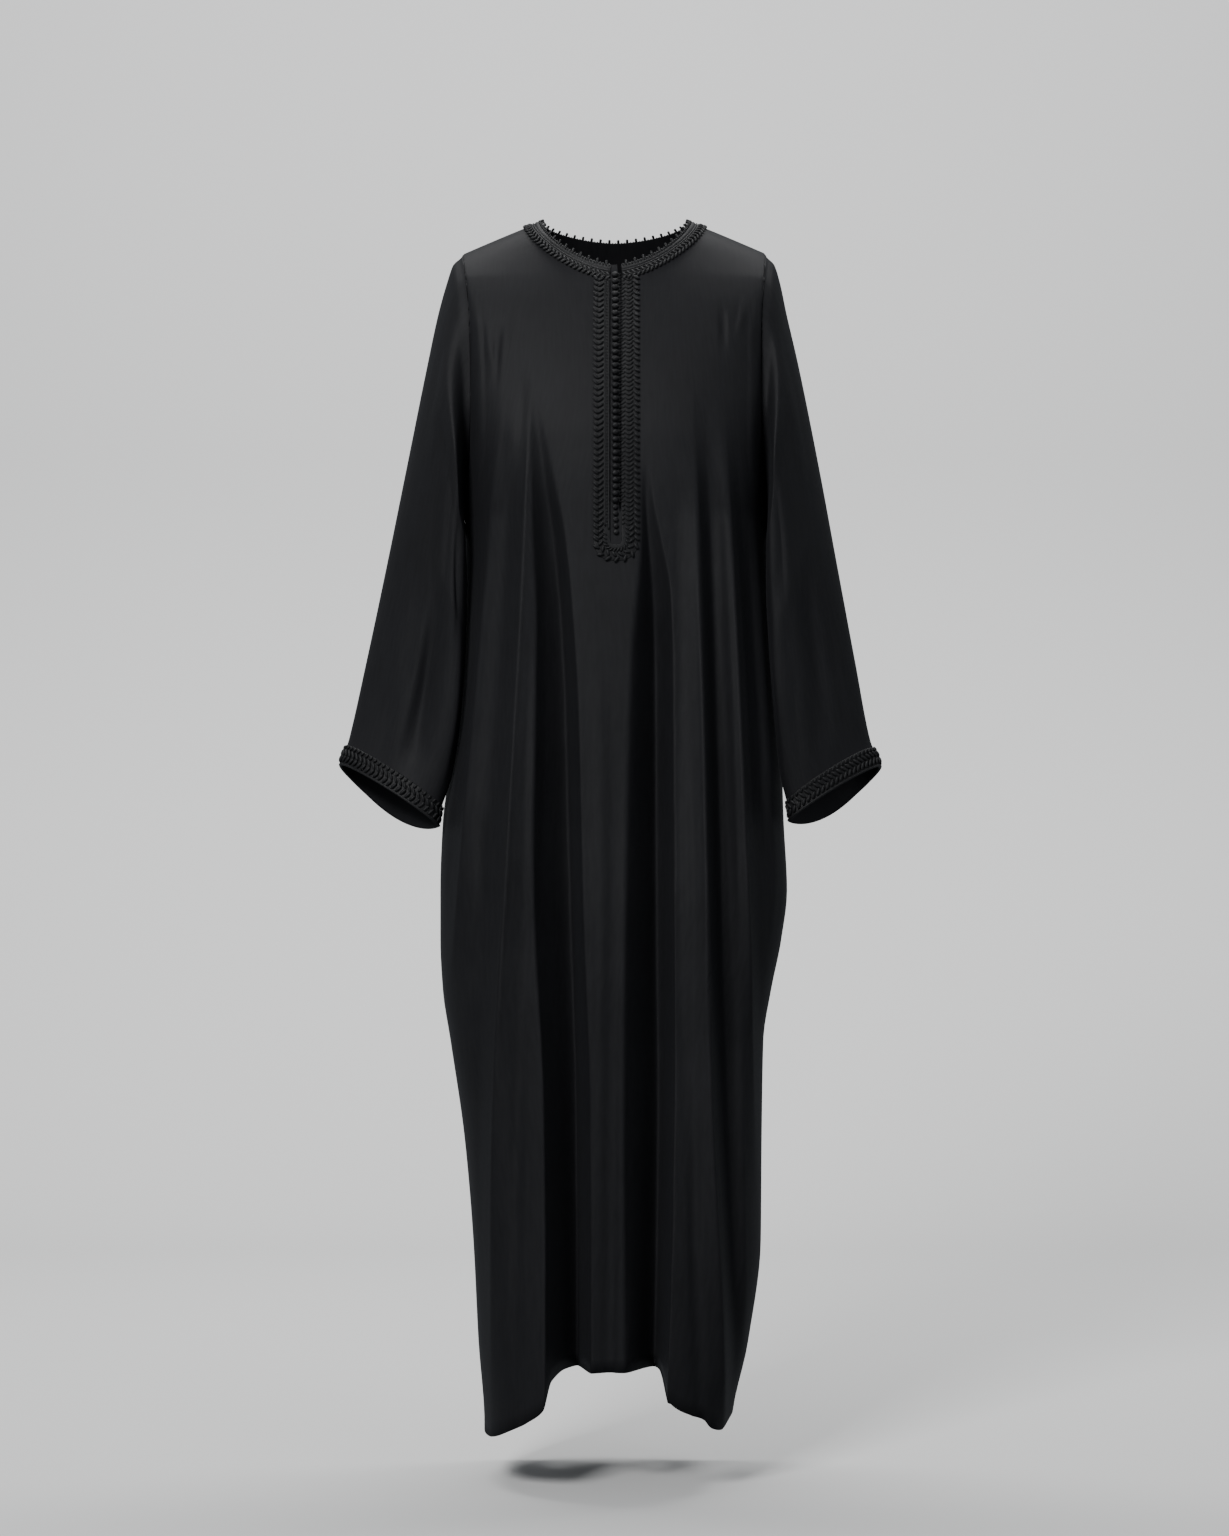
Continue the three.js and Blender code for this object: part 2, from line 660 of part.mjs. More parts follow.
function addPiece(name, geometry, finish) {
  const mesh = new THREE.Mesh(geometry, new THREE.MeshStandardMaterial(finish));
  mesh.name = name;
  abaya.add(mesh);
}

const panels = { front: panelWall('front', FRONT_COLUMNS), back: panelWall('back', BACK_COLUMNS) };

// A thin wedge that parts the front down the slit, wider at the neck.
function slitCutter() {
  const top = neckHeight('front', SLIT_X) + 12;
  const outline = new THREE.Shape();
  outline.moveTo(SLIT_X - 4.5, top);
  outline.lineTo(SLIT_X - SLIT_WIDTH / 2, top - 34);
  outline.lineTo(SLIT_X - SLIT_WIDTH / 2, SLIT_FOOT);
  outline.lineTo(SLIT_X + SLIT_WIDTH / 2, SLIT_FOOT);
  outline.lineTo(SLIT_X + SLIT_WIDTH / 2, top - 34);
  outline.lineTo(SLIT_X + 4.5, top);
  const wedge = new THREE.ExtrudeGeometry(outline, { depth: 200, bevelEnabled: false });
  wedge.deleteAttribute('normal');
  wedge.deleteAttribute('uv');
  wedge.rotateX(Math.PI / 2);
  wedge.translate(0, -10, 0);
  return wedge;
}

function frontPanel() {
  const { outer, normals } = panels.front;
  const wall = toManifold(wallGeometry(outer, inside(outer, normals, CLOTH)));
  return fromManifold(wall.subtract(toManifold(slitCutter())));
}

function backPanel() {
  const { outer, normals } = panels.back;
  return wallGeometry(outer, inside(outer, normals, CLOTH));
}

// ---------------------------------------------------------------- sleeves
// Where the armhole's points lie in the two panels: down the front edge, then up the back edge.
function armholePlaces(side) {
  const places = [];
  for (let row = 0; row <= UNDERARM_ROW; row += 1) {
    places.push({ panel: panels.front, row, column: side < 0 ? 0 : FRONT_COLUMNS });
  }
  for (let row = UNDERARM_ROW - 1; row > 0; row -= 1) {
    places.push({ panel: panels.back, row, column: side < 0 ? 0 : BACK_COLUMNS });
  }
  return places;
}

// The sleeve's outer surface away from its seam: an oval between the outer and the inner edge.
function sleeveOval(sleeve, angle, along) {
  const outerZ = mix(sleeve.outer[0].z, sleeve.outer.at(-1).z, along);
  const innerZ = mix(sleeve.inner[0].z, sleeve.inner.at(-1).z, along);
  const outerX = track(sleeve.outer, 'x')(outerZ);
  const innerX = track(sleeve.inner, 'x')(innerZ);
  const radians = THREE.MathUtils.degToRad(angle);
  const swing = Math.cos(radians);
  const lift = Math.sin(radians);
  const halfDepth = mix(ARMHOLE_HALF_DEPTH, 52, smooth(along / 0.6));
  const cuffDepth = mix(halfDepth, CUFF_HALF_DEPTH, smooth((along - 0.45) / 0.55));
  let stand = 0;
  for (const fold of sleeve.folds) {
    const t = Math.abs(((angle - fold.angle + 540) % 360) - 180) / fold.width;
    const s = (2 * along - fold.from - fold.to) / (fold.to - fold.from);
    if (t < 1 && Math.abs(s) < 1) stand += fold.out * (1 - t * t) ** 2 * (1 - s * s) ** 1.5;
  }
  const tilt = lift > 0 ? CUFF_FRONT_RISE : CUFF_BACK_DROP;
  const inward = (1 - swing) / 2;
  const behind = clamp(-3 * lift, 0, 1); // 1 round the back, 0 in front
  const started = smooth(along / mix(FORWARD_BY.front, FORWARD_BY.back, behind));
  const hollow = INNER_HOLLOW * Math.max(-lift, 0) * inward * started;
  const x = mix(outerX, innerX, inward) + sleeve.side * (hollow + stand * swing);
  const z = mix(outerZ, innerZ, inward) + tilt * lift * smooth((along - 0.55) / 0.45);
  const forward = mix(INNER_FORWARD, CUFF_FORWARD, along) * started * inward ** 1.5;
  const y = -lift * cuffDepth - Math.sign(lift) * stand * Math.abs(lift) - forward;
  return new THREE.Vector3(x, y, z);
}

// A sleeve's outer points and wall directions. Along the seam the panels share its wall direction,
// and its first ring is drawn back from them by the gap.
function sleeveWall(name) {
  const sleeve = SLEEVES[name];
  const places = armholePlaces(sleeve.side);
  const seam = places.map(({ panel, row, column }) => panel.outer[row][column].clone());
  const count = seam.length;
  const outer = [seam];
  for (let row = 1; row <= SLEEVE_ROWS; row += 1) {
    const along = (row / SLEEVE_ROWS) ** 1.25;
    const hold = clamp(1 - along / 0.3, 0, 1) ** 2;
    outer.push(
      seam.map((point, i) => {
        const angle = (360 * i) / count;
        const seamShift = new THREE.Vector3().subVectors(point, sleeveOval(sleeve, angle, 0));
        return sleeveOval(sleeve, angle, along).addScaledVector(seamShift, hold);
      }),
    );
  }
  const normals = gridNormals(outer, -sleeve.side, true);
  places.forEach(({ panel, row, column }, i) => {
    normals[0][i].add(panel.normals[row][column]).normalize();
    panel.normals[row][column].copy(normals[0][i]);
  });
  for (const row of [0, UNDERARM_ROW]) {
    const shared = normals[0][row];
    panels.back.normals[row][sleeve.side < 0 ? 0 : BACK_COLUMNS].copy(shared);
  }
  outer[0] = seam.map((point, i) => {
    const along = new THREE.Vector3().subVectors(seam[(i + 1) % count], seam[(i + count - 1) % count]);
    const away = along.cross(normals[0][i]).normalize();
    const toSleeve = new THREE.Vector3().subVectors(outer[1][i], point);
    return point.clone().addScaledVector(away, Math.sign(away.dot(toSleeve)) * SEAM_GAP);
  });
  return { outer, normals };
}

const sleeveWalls = { left: sleeveWall('left'), right: sleeveWall('right') };

// ---------------------------------------------------------------- braid
// A braid made from a grid of places on the cloth: a line for each row of its profile.
function braidGeometry(places, profile, turn, closed = false) {
  const normals = gridNormals(places, turn, closed);
  const under = inside(places, normals, -ON_CLOTH);
  const over = places.map((line, row) =>
    line.map((point, i) => point.clone().addScaledVector(normals[row][i], ON_CLOTH + profile[row].stand)),
  );
  return wallGeometry(over, under, closed);
}

// The neck edge as evenly spaced stations, from the right of the slit round the back to its left.
function neckStations(count) {
  const fine = [];
  const steps = 720;
  const startTurn = Math.asin((SLIT_X + 1.6) / NECK_HALF_WIDTH);
  const endTurn = 2 * Math.PI + Math.asin((SLIT_X - 10.4) / NECK_HALF_WIDTH);
  for (let i = 0; i <= steps; i += 1) {
    const turn = mix(startTurn, endTurn, i / steps);
    const side = Math.cos(turn) > 0 ? 'front' : 'back';
    const x = NECK_HALF_WIDTH * Math.sin(turn);
    fine.push(bodyPoint(side, x, neckHeight(side, x)));
  }
  const lengths = [0];
  for (let i = 1; i <= steps; i += 1) lengths.push(lengths[i - 1] + fine[i].distanceTo(fine[i - 1]));
  return Array.from({ length: count + 1 }, (_, station) => {
    const target = (lengths[steps] * station) / count;
    const i = clamp(lengths.findIndex((length) => length >= target), 1, steps);
    const t = (target - lengths[i - 1]) / (lengths[i] - lengths[i - 1]);
    const before = fine[Math.max(i - 12, 0)];
    const after = fine[Math.min(i + 12, steps)];
    const away = new THREE.Vector2(after.y - before.y, before.x - after.x).normalize();
    return { point: fine[i - 1].clone().lerp(fine[i], t), away };
  });
}

// The height of the body's surface over a place in plan, between the shoulder line and the chest.
function heightOver(x, y) {
  const side = y < 0 ? 'front' : 'back';
  const target = Math.max(Math.abs(y) - SEAM_GAP / 2, 0);
  let high = shoulderHeight(x);
  let low = -235;
  for (let i = 0; i < 40; i += 1) {
    const middle = (high + low) / 2;
    if (bodyDepth(side, x, middle) < target) high = middle;
    else low = middle;
  }
  return (high + low) / 2;
}

// Walks over the cloth from a neck station, straight away from the edge, for a given length.
function fromNeckEdge(station, length) {
  const step = 0.5;
  let here = station.point.clone();
  let walked = 0;
  let out = 0;
  const reach = Math.max(length, 3);
  while (walked < reach) {
    out += step / 2;
    const x = station.point.x + station.away.x * out;
    const y = station.point.y + station.away.y * out;
    const next = new THREE.Vector3(x, y, heightOver(x, y));
    walked += next.distanceTo(here);
    here = next;
  }
  return station.point.clone().lerp(here, length / walked);
}

function neckBraid() {
  const stations = neckStations(2 * PICOT_COUNT);
  const places = NECK_PROFILE.map(({ away, tooth }) =>
    stations.map((station, i) => fromNeckEdge(station, away + (i % 2 ? tooth : 0))),
  );
  return braidGeometry(places, NECK_PROFILE, 1);
}

// The placket's U: how far along it a station is, from the top of one leg to the top of the other.
function placketPlaces(away) {
  const legSteps = 26;
  const footSteps = 10;
  const middle = (PLACKET_LEFT + PLACKET_RIGHT) / 2;
  const halfWidth = (PLACKET_RIGHT - PLACKET_LEFT) / 2 - away;
  const footDepth = mix(PLACKET_TURN - PLACKET_FOOT, 5, away / PLACKET_WIDTH);
  const line = [];
  const legHeight = (step) => mix(PLACKET_TOP, PLACKET_TURN, step / legSteps);
  for (let i = 0; i < legSteps; i += 1) line.push([-halfWidth, legHeight(i)]);
  for (let i = 0; i <= footSteps; i += 1) {
    const turn = (Math.PI * i) / footSteps;
    const across = -Math.sign(Math.cos(turn)) * Math.abs(Math.cos(turn)) ** 0.8;
    line.push([halfWidth * across, PLACKET_TURN - footDepth * Math.sin(turn) ** 0.8]);
  }
  for (let i = legSteps - 1; i >= 0; i -= 1) line.push([halfWidth, legHeight(i)]);
  return line.map(([x, z]) => bodyPoint('front', middle + x, z));
}

const placketBraid = () =>
  braidGeometry(PLACKET_PROFILE.map(({ away }) => placketPlaces(away)), PLACKET_PROFILE, -1);

// The cuff braid lies on the last stretch of the sleeve, a line for each row of its profile.
function cuffBraid(name) {
  const { outer } = sleeveWalls[name];
  const count = outer[0].length;
  const places = CUFF_PROFILE.map(({ away }) =>
    Array.from({ length: count }, (_, i) => {
      const end = outer.at(-1)[i];
      const before = outer.at(-2)[i];
      return end.clone().lerp(before, away / end.distanceTo(before));
    }),
  );
  return braidGeometry(places, CUFF_PROFILE, SLEEVES[name].side, true);
}

// ---------------------------------------------------------------- buttons and knots
// A ball of thread pressed to the cloth, with one pole towards it.
function addBall(name, x, z, size) {
  const ball = new THREE.SphereGeometry(0.5, 6, 4);
  ball.scale(size.x, size.y, size.z);
  const mesh = new THREE.Mesh(ball, new THREE.MeshStandardMaterial(BRAID));
  mesh.name = name;
  mesh.position.copy(onBody('front', x, z, ON_CLOTH + size.y / 2));
  mesh.quaternion.setFromUnitVectors(new THREE.Vector3(0, -1, 0), bodyNormal('front', x, z));
  abaya.add(mesh);
}

addPiece('front_panel', frontPanel(), CREPE);
addPiece('back_panel', backPanel(), CREPE);
for (const [name, { outer, normals }] of Object.entries(sleeveWalls)) {
  addPiece(`sleeve_${name}`, wallGeometry(outer, inside(outer, normals, CLOTH), true), CREPE);
  addPiece(`cuff_braid_${name}`, cuffBraid(name), BRAID);
}
addPiece('neck_braid', neckBraid(), BRAID);
addPiece('placket_braid', placketBraid(), BRAID);
for (let i = 0; i < BUTTON_COUNT; i += 1) {
  const number = String(i + 1).padStart(2, '0');
  addBall(`button_${number}`, BUTTON_X, BUTTON_TOP - i * BUTTON_PITCH, BUTTON_SIZE);
}
for (let i = 0; i < KNOT_COUNT; i += 1) {
  const z = BUTTON_TOP - BUTTON_COUNT * BUTTON_PITCH - i * KNOT_PITCH;
  addBall(`thread_knot_${i + 1}`, mix(BUTTON_X, 1.2, i / KNOT_COUNT), z, KNOT_SIZE);
}

export default abaya;
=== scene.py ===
"""The looks of a long black abaya, worn open and hollow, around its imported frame."""

import math

import bpy
import numpy as np
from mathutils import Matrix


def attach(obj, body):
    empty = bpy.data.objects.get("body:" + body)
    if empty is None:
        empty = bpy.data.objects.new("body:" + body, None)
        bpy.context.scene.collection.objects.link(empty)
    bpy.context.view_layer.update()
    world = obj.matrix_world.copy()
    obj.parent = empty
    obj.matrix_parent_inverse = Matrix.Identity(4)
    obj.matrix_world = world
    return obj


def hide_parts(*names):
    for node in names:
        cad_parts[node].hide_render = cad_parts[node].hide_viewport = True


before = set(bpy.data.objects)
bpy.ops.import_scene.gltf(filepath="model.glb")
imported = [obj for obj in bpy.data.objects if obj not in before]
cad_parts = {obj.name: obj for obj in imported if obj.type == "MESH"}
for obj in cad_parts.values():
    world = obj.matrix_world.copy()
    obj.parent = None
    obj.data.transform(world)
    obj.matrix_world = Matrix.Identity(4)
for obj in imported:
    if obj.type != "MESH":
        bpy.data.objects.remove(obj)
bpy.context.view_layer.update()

# ------------------------------------------------------------------ sizes, in millimetres
MM = 0.001
CLOTH = 0.9  # the crepe's wall as it shows
SEAM_GAP = 0.3
NECK_HALF_WIDTH = 87.0
NECK_TOP = 27.0
NECK_DROP = {"front": 60.0, "back": 18.0}
SHOULDER_SLOPE = 0.46
SHOULDER_BEND = 60.0
SHOULDER_ROUND = 105.0
ARMHOLE_TOP = -14.0
UNDERARM = -322.0
ARMHOLE_HALF_DEPTH = 72.0
ARMHOLE_WIDEST = -185.0
HEM_SIDE = -1389.0
SLIT_X = 5.8
SLIT_HALF_GAP = 0.8
SLIT_FOOT = -324.0
PICOT_COUNT = 50
BRAID_WIDTH = 21.0
PLACKET_LEFT = -25.7
PLACKET_RIGHT = 28.0
PLACKET_TOP = -56.0
PLACKET_TURN = -356.0
PLACKET_FOOT = -381.5
BUTTON_COUNT = 35
BUTTON_TOP = -47.0
BUTTON_PITCH = 7.75
BUTTON_SIZE = (8.6, 7.0, 7.0)
KNOT_COUNT = 5
KNOT_PITCH = 7.2
KNOT_SIZE = (6.2, 3.6, 6.0)
CUFF_BRAID_WIDTH = 25.0
CUFF_HALF_DEPTH = 36.0
CUFF_FRONT_RISE = 9.0
CUFF_BACK_DROP = 14.0
INNER_FORWARD = 60.0
CUFF_FORWARD = 44.0
INNER_HOLLOW = 24.0
FORWARD_BY = {"front": 0.12, "back": 0.16}  # shares of its length by which each half has come forward
ON_CLOTH = 0.35
CORD_STEP = 3.0
FACING = {"front": -1.0, "back": 1.0}

# The camera stands level, at the height of the cuffs, 4.5 m before the side seams.
CAMERA_DISTANCE = 4.5
CAMERA_HEIGHT = -0.617
VIEW_HEIGHT = 1.8125  # metres of the side-seam plane from the top to the bottom of the picture
FLOOR = -1.452

BODY_COLUMNS = ("z", "left", "right", "front", "back")
BODY_SECTIONS = [
    (50, 182, 180, 60, 56),
    (10, 181, 179, 67, 67),
    (-14, 179, 177, 71, 78),
    (-50, 173, 173, 82, 95),
    (-100, 169, 170, 102, 106),
    (-150, 168, 170, 119, 110),
    (-200, 168, 170, 131, 112),
    (-240, 169, 171, 137, 111),
    (-290, 173, 175, 139, 109),
    (-322, 177, 178, 139, 108),
    (-350, 177, 180, 139, 108),
    (-466, 181, 187, 140, 110),
    (-560, 187, 193, 142, 113),
    (-620, 195, 197, 143, 115),
    (-680, 203, 199, 144, 117),
    (-761, 206, 203, 146, 119),
    (-820, 206, 196, 147, 121),
    (-879, 203, 184, 149, 122),
    (-938, 194, 175, 150, 124),
    (-1056, 177, 173, 153, 126),
    (-1174, 167, 172, 156, 129),
    (-1292, 161, 157, 159, 132),
    (-1389, 154, 138, 162, 134),
]

# A fold hangs along a line of x places. It stands out from the cloth (+) or sinks into it (-), and
# left and right are its widths to either side.
FOLD_COLUMNS = ("z", "x", "left", "right", "out")
FRONT_FOLDS = {
    "outer_left_ridge": [
        (-190, -131, 16, 24, 0), (-310, -143, 16, 26, 9), (-568, -165, 15, 28, 14),
        (-808, -186, 14, 30, 9), (-880, -192, 12, 30, 0),
    ],
    "inner_left_ridge": [
        (-180, -99, 22, 26, 0), (-356, -105, 22, 30, 12), (-694, -123, 24, 32, 17),
        (-954, -137, 22, 34, 18), (-1128, -143, 16, 36, 12), (-1389, -144, 10, 36, 5),
    ],
    "left_valley": [
        (-180, -92, 5, 6, 0), (-260, -84, 12, 10, -6), (-356, -70, 24, 14, -20),
        (-440, -62, 28, 14, -32), (-537, -57, 34, 15, -42), (-773, -51, 42, 15, -54),
        (-1000, -45, 37, 17, -60), (-1200, -44, 36, 17, -66), (-1389, -44, 36, 17, -74),
    ],
    "right_valley": [
        (-260, 35, 5, 6, 0), (-310, 36, 7, 8, -5), (-356, 39, 10, 14, -13), (-420, 44, 20, 20, -26),
        (-488, 46, 28, 20, -38), (-814, 48, 38, 20, -56), (-1000, 50, 42, 18, -64),
        (-1200, 48, 38, 16, -72), (-1389, 45, 34, 14, -80),
    ],
    "centre_recess": [(-780, -9, 72, 70, 0), (-1000, -9, 71, 71, -11), (-1389, -9, 70, 68, -34)],
    "inner_right_ridge": [
        (-240, 92, 26, 14, 0), (-356, 95, 26, 14, 8), (-562, 101, 28, 14, 15),
        (-978, 110, 32, 14, 19), (-1389, 127, 36, 14, 14),
    ],
    "outer_right_valley": [
        (-170, 103, 13, 18, 0), (-356, 111, 13, 18, -11), (-600, 119, 14, 19, -18),
        (-978, 129, 14, 19, -21), (-1300, 140, 12, 13, -11), (-1389, 141, 12, 12, -3),
    ],
    "outer_right_ridge": [
        (-190, 126, 16, 14, 0), (-356, 135, 17, 14, 10), (-722, 151, 18, 15, 15),
        (-954, 160, 18, 12, 11), (-1128, 164, 16, 8, 0),
    ],
    "side_right_valley": [
        (-300, 151, 12, 12, 0), (-415, 157, 12, 13, -8), (-620, 169, 13, 13, -11),
        (-800, 174, 12, 12, 0),
    ],
}
BACK_FOLDS = {
    "left_blade_ridge": [
        (-150, -96, 30, 30, 0), (-420, -104, 28, 30, 10), (-900, -118, 26, 34, 18),
        (-1389, -122, 24, 38, 22),
    ],
    "left_valley": [
        (-220, -58, 26, 34, 0), (-560, -60, 24, 34, -16), (-1000, -62, 20, 36, -42),
        (-1389, -66, 18, 38, -62),
    ],
    "centre_ridge": [(-300, -8, 32, 26, 0), (-760, -6, 30, 26, 10), (-1389, -4, 26, 26, 16)],
    "right_valley": [
        (-260, 40, 26, 26, 0), (-640, 43, 28, 24, -20), (-1060, 48, 32, 20, -44),
        (-1389, 50, 34, 18, -60),
    ],
    "right_blade_ridge": [(-150, 92, 30, 26, 0), (-480, 99, 28, 24, 12), (-1389, 108, 30, 22, 20)],
    "side_right_valley": [(-330, 134, 16, 16, 0), (-700, 144, 16, 16, -13), (-1160, 142, 14, 14, 0)],
    "side_left_valley": [(-380, -142, 16, 16, 0), (-760, -156, 16, 18, -14), (-1100, -152, 12, 14, 0)],
}

# These valleys have one steep side, where the cloth folds back under itself.
STEEP_SIDES = {
    "left_valley": "left",
    "right_valley": "right",
    "outer_right_valley": "left",
    "side_right_valley": "left",
}

# Smaller creases, in the same columns, that only show close to.
FRONT_CREASES = {
    "outer_left_line": [
        (-300, -142, 4, 5, 0), (-440, -154, 4, 5, 1.5), (-700, -177, 4, 5, 1.3),
        (-860, -190, 4, 5, 0),
    ],
    "inner_left_line": [
        (-180, -99, 4, 5, 0), (-330, -104, 4, 5, 1.6), (-700, -123, 4, 5, 1.8),
        (-1128, -143, 4, 5, 1.5), (-1360, -144, 4, 5, 0),
    ],
    "centre_left_line": [(-900, -30, 4, 5, 0), (-1100, -28, 4, 6, 1.2), (-1389, -27, 4, 6, 1)],
    "inner_right_line": [
        (-300, 93, 5, 4, 0), (-562, 101, 5, 4, 1.6), (-978, 110, 5, 4, 1.7),
        (-1389, 127, 5, 4, 1.2),
    ],
    "outer_right_line": [
        (-280, 131, 4, 4, 0), (-500, 142, 4, 4, 1.5), (-860, 157, 4, 4, 1.4),
        (-1060, 163, 4, 4, 0),
    ],
    "left_chest_hollow": [(-120, -108, 22, 16, 0), (-190, -110, 24, 16, -2.6), (-250, -114, 14, 12, 0)],
    "left_yoke_ridge": [(-90, -148, 6, 7, 0), (-130, -146, 6, 8, 1.6), (-170, -142, 7, 9, 0)],
    "left_chest_ridge": [(-78, -122, 6, 8, 0), (-120, -126, 6, 9, 1.4), (-185, -130, 8, 9, 0)],
    "left_chest_trough": [(-86, -135, 6, 6, 0), (-135, -136, 6, 6, -1.4), (-190, -137, 6, 6, 0)],
    "right_yoke_trough": [(-68, 124, 7, 6, 0), (-110, 125, 7, 7, -1.7), (-150, 124, 8, 7, 0)],
    "right_yoke_ridge": [(-66, 150, 6, 8, 0), (-92, 147, 6, 8, 1.6), (-130, 140, 7, 8, 0)],
    "left_armhole_roll": [
        (-40, -168, 10, 8, 0), (-120, -160, 9, 9, 3), (-230, -157, 9, 9, 3), (-330, -166, 8, 8, 0),
    ],
    "right_armhole_roll": [
        (-40, 166, 8, 10, 0), (-130, 160, 8, 9, 2.4), (-240, 160, 9, 9, 2.6), (-330, 166, 8, 8, 0),
    ],
    "bust_left_drape": [(-170, -115, 12, 12, 0), (-235, -117, 12, 10, 2.2), (-320, -121, 12, 10, 0)],
    "panel_left_ripple": [(-420, -88, 10, 12, 0), (-640, -93, 11, 12, 3), (-860, -97, 10, 12, 0)],
    "panel_right_ripple": [(-520, 78, 8, 9, 0), (-760, 82, 8, 9, 2.6), (-1010, 84, 8, 9, 0)],
    "centre_left_ripple": [
        (-430, -20, 16, 14, 0), (-700, -16, 14, 13, 2.8), (-1060, -18, 12, 12, 3.6),
        (-1389, -20, 12, 12, 2),
    ],
    "centre_right_ripple": [
        (-520, 14, 9, 10, 0), (-820, 10, 9, 10, 2), (-1180, 6, 9, 10, 3.4), (-1389, 4, 9, 10, 3),
    ],
    "left_leg_ripple": [
        (-860, -108, 11, 11, 0), (-1060, -112, 11, 11, -3.6), (-1320, -113, 11, 11, -2.6),
        (-1389, -113, 11, 11, -2),
    ],
    "right_leg_ripple": [
        (-920, 92, 10, 10, 0), (-1120, 91, 10, 10, -3), (-1340, 96, 10, 10, -3.4),
        (-1389, 96, 10, 10, -3),
    ],
    "left_hip_dimple": [(-660, -152, 10, 10, 0), (-720, -154, 11, 11, -3), (-800, -157, 10, 10, 0)],
    "right_hip_ridge": [(-640, 183, 6, 6, 0), (-740, 187, 6, 7, 3), (-850, 180, 6, 6, 0)],
}
BACK_CREASES = {
    "left_blade_crease": [(-60, -120, 9, 9, 0), (-130, -126, 9, 10, 2), (-240, -128, 9, 9, 0)],
    "right_blade_crease": [(-70, 116, 9, 9, 0), (-150, 122, 9, 9, -2), (-260, 124, 9, 9, 0)],
    "centre_back_ripple": [(-120, 12, 15, 15, 0), (-300, 14, 14, 14, -2), (-520, 12, 14, 14, 0)],
    "left_back_ripple": [
        (-420, -86, 10, 10, 0), (-760, -90, 10, 10, 3), (-1180, -94, 10, 10, 4),
        (-1389, -94, 10, 10, 3),
    ],
    "right_back_ripple": [(-540, 74, 9, 9, 0), (-880, 78, 9, 9, 3), (-1389, 82, 9, 9, 4)],
    "left_armhole_roll": [(-50, -166, 10, 8, 0), (-160, -158, 9, 9, 3), (-310, -166, 8, 8, 0)],
    "right_armhole_roll": [(-50, 166, 8, 10, 0), (-150, 159, 8, 9, 2.6), (-310, 166, 8, 8, 0)],
    "low_centre_ripple": [(-900, -26, 9, 9, 0), (-1200, -28, 9, 9, 3), (-1389, -30, 9, 9, 4)],
}

HEM_COLUMNS = ("x", "z")
HEMS = {
    "front": [
        (-154, -1396), (-122, -1380), (-100, -1366), (-82, -1351), (-71, -1320), (-56, -1312), (20, -1310),
        (46, -1312), (60, -1343), (100, -1366), (111, -1377), (123, -1381), (138, -1373),
    ],
    "back": [
        (-154, -1396), (-118, -1380), (-84, -1356), (-58, -1326), (-4, -1322), (44, -1327),
        (84, -1360), (112, -1374), (138, -1373),
    ],
}

SLEEVE_EDGE = ("z", "x")
# A sleeve fold: from and to as shares of the length, its angle and width in degrees, and how far out.
SLEEVES = {
    "left": {
        "side": -1.0,
        "outer": [
            (-14, -179), (-25, -190), (-41, -196), (-82, -208), (-141, -221), (-259, -245),
            (-377, -269), (-495, -294), (-584, -314), (-615, -323),
        ],
        "inner": [
            (-322, -177), (-333, -176.4), (-347, -174.9), (-362, -173.6), (-400, -172.4), (-466, -173.6),
            (-560, -180), (-625, -190), (-686, -207),
        ],
        "folds": {
            "seam_crevice": (-0.06, 0.13, 112, 64, -8),
            "seam_roll": (0.03, 0.2, 86, 46, 4),
            "inner_line": (0.06, 0.62, 122, 15, 5),
            "elbow_trough": (0.42, 0.98, 108, 20, -15),
            "inner_roll": (0.35, 0.98, 142, 22, 7),
            "armhole_trough": (0, 0.42, 122, 30, -9),
            "back_trough": (0.3, 0.9, 250, 34, -10),
            "back_roll": (0.15, 0.8, 292, 30, 5),
            "top_crease": (0.06, 0.34, 62, 14, 1.6),
            "upper_crease": (0.12, 0.5, 84, 12, -1.8),
            "fore_crease": (0.5, 0.86, 66, 15, 1.8),
            "cuff_crease": (0.72, 0.97, 84, 13, 2.2),
            "back_crease": (0.4, 0.9, 318, 16, -2),
        },
    },
    "right": {
        "side": 1.0,
        "outer": [
            (-14, 177), (-25, 187), (-46, 194), (-82, 202), (-141, 216), (-259, 240),
            (-377, 262), (-495, 284), (-584, 301), (-617, 312),
        ],
        "inner": [
            (-322, 178), (-333, 178.2), (-347, 176.8), (-362, 176.0), (-400, 175.8), (-466, 178.6),
            (-560, 186), (-625, 193), (-680, 204),
        ],
        "folds": {
            "seam_crevice": (-0.06, 0.13, 112, 64, -7),
            "seam_roll": (0.03, 0.19, 84, 42, 3),
            "inner_line": (0.05, 0.5, 104, 14, 3),
            "elbow_trough": (0.45, 0.92, 84, 22, -7),
            "armhole_trough": (0, 0.45, 118, 30, -8),
            "inner_roll": (0.3, 0.9, 142, 26, 5),
            "back_trough": (0.35, 0.9, 262, 34, -9),
            "top_crease": (0.05, 0.4, 58, 15, 1.6),
            "fore_crease": (0.55, 0.96, 60, 15, -2),
            "cuff_crease": (0.66, 0.97, 112, 14, 2.4),
            "back_crease": (0.3, 0.9, 306, 16, 2),
        },
    },
}


# ------------------------------------------------------------------ small maths
def mix(a, b, t):
    return a + (b - a) * t


def smooth(t):
    s = np.clip(t, 0, 1)
    return s * s * (3 - 2 * s)


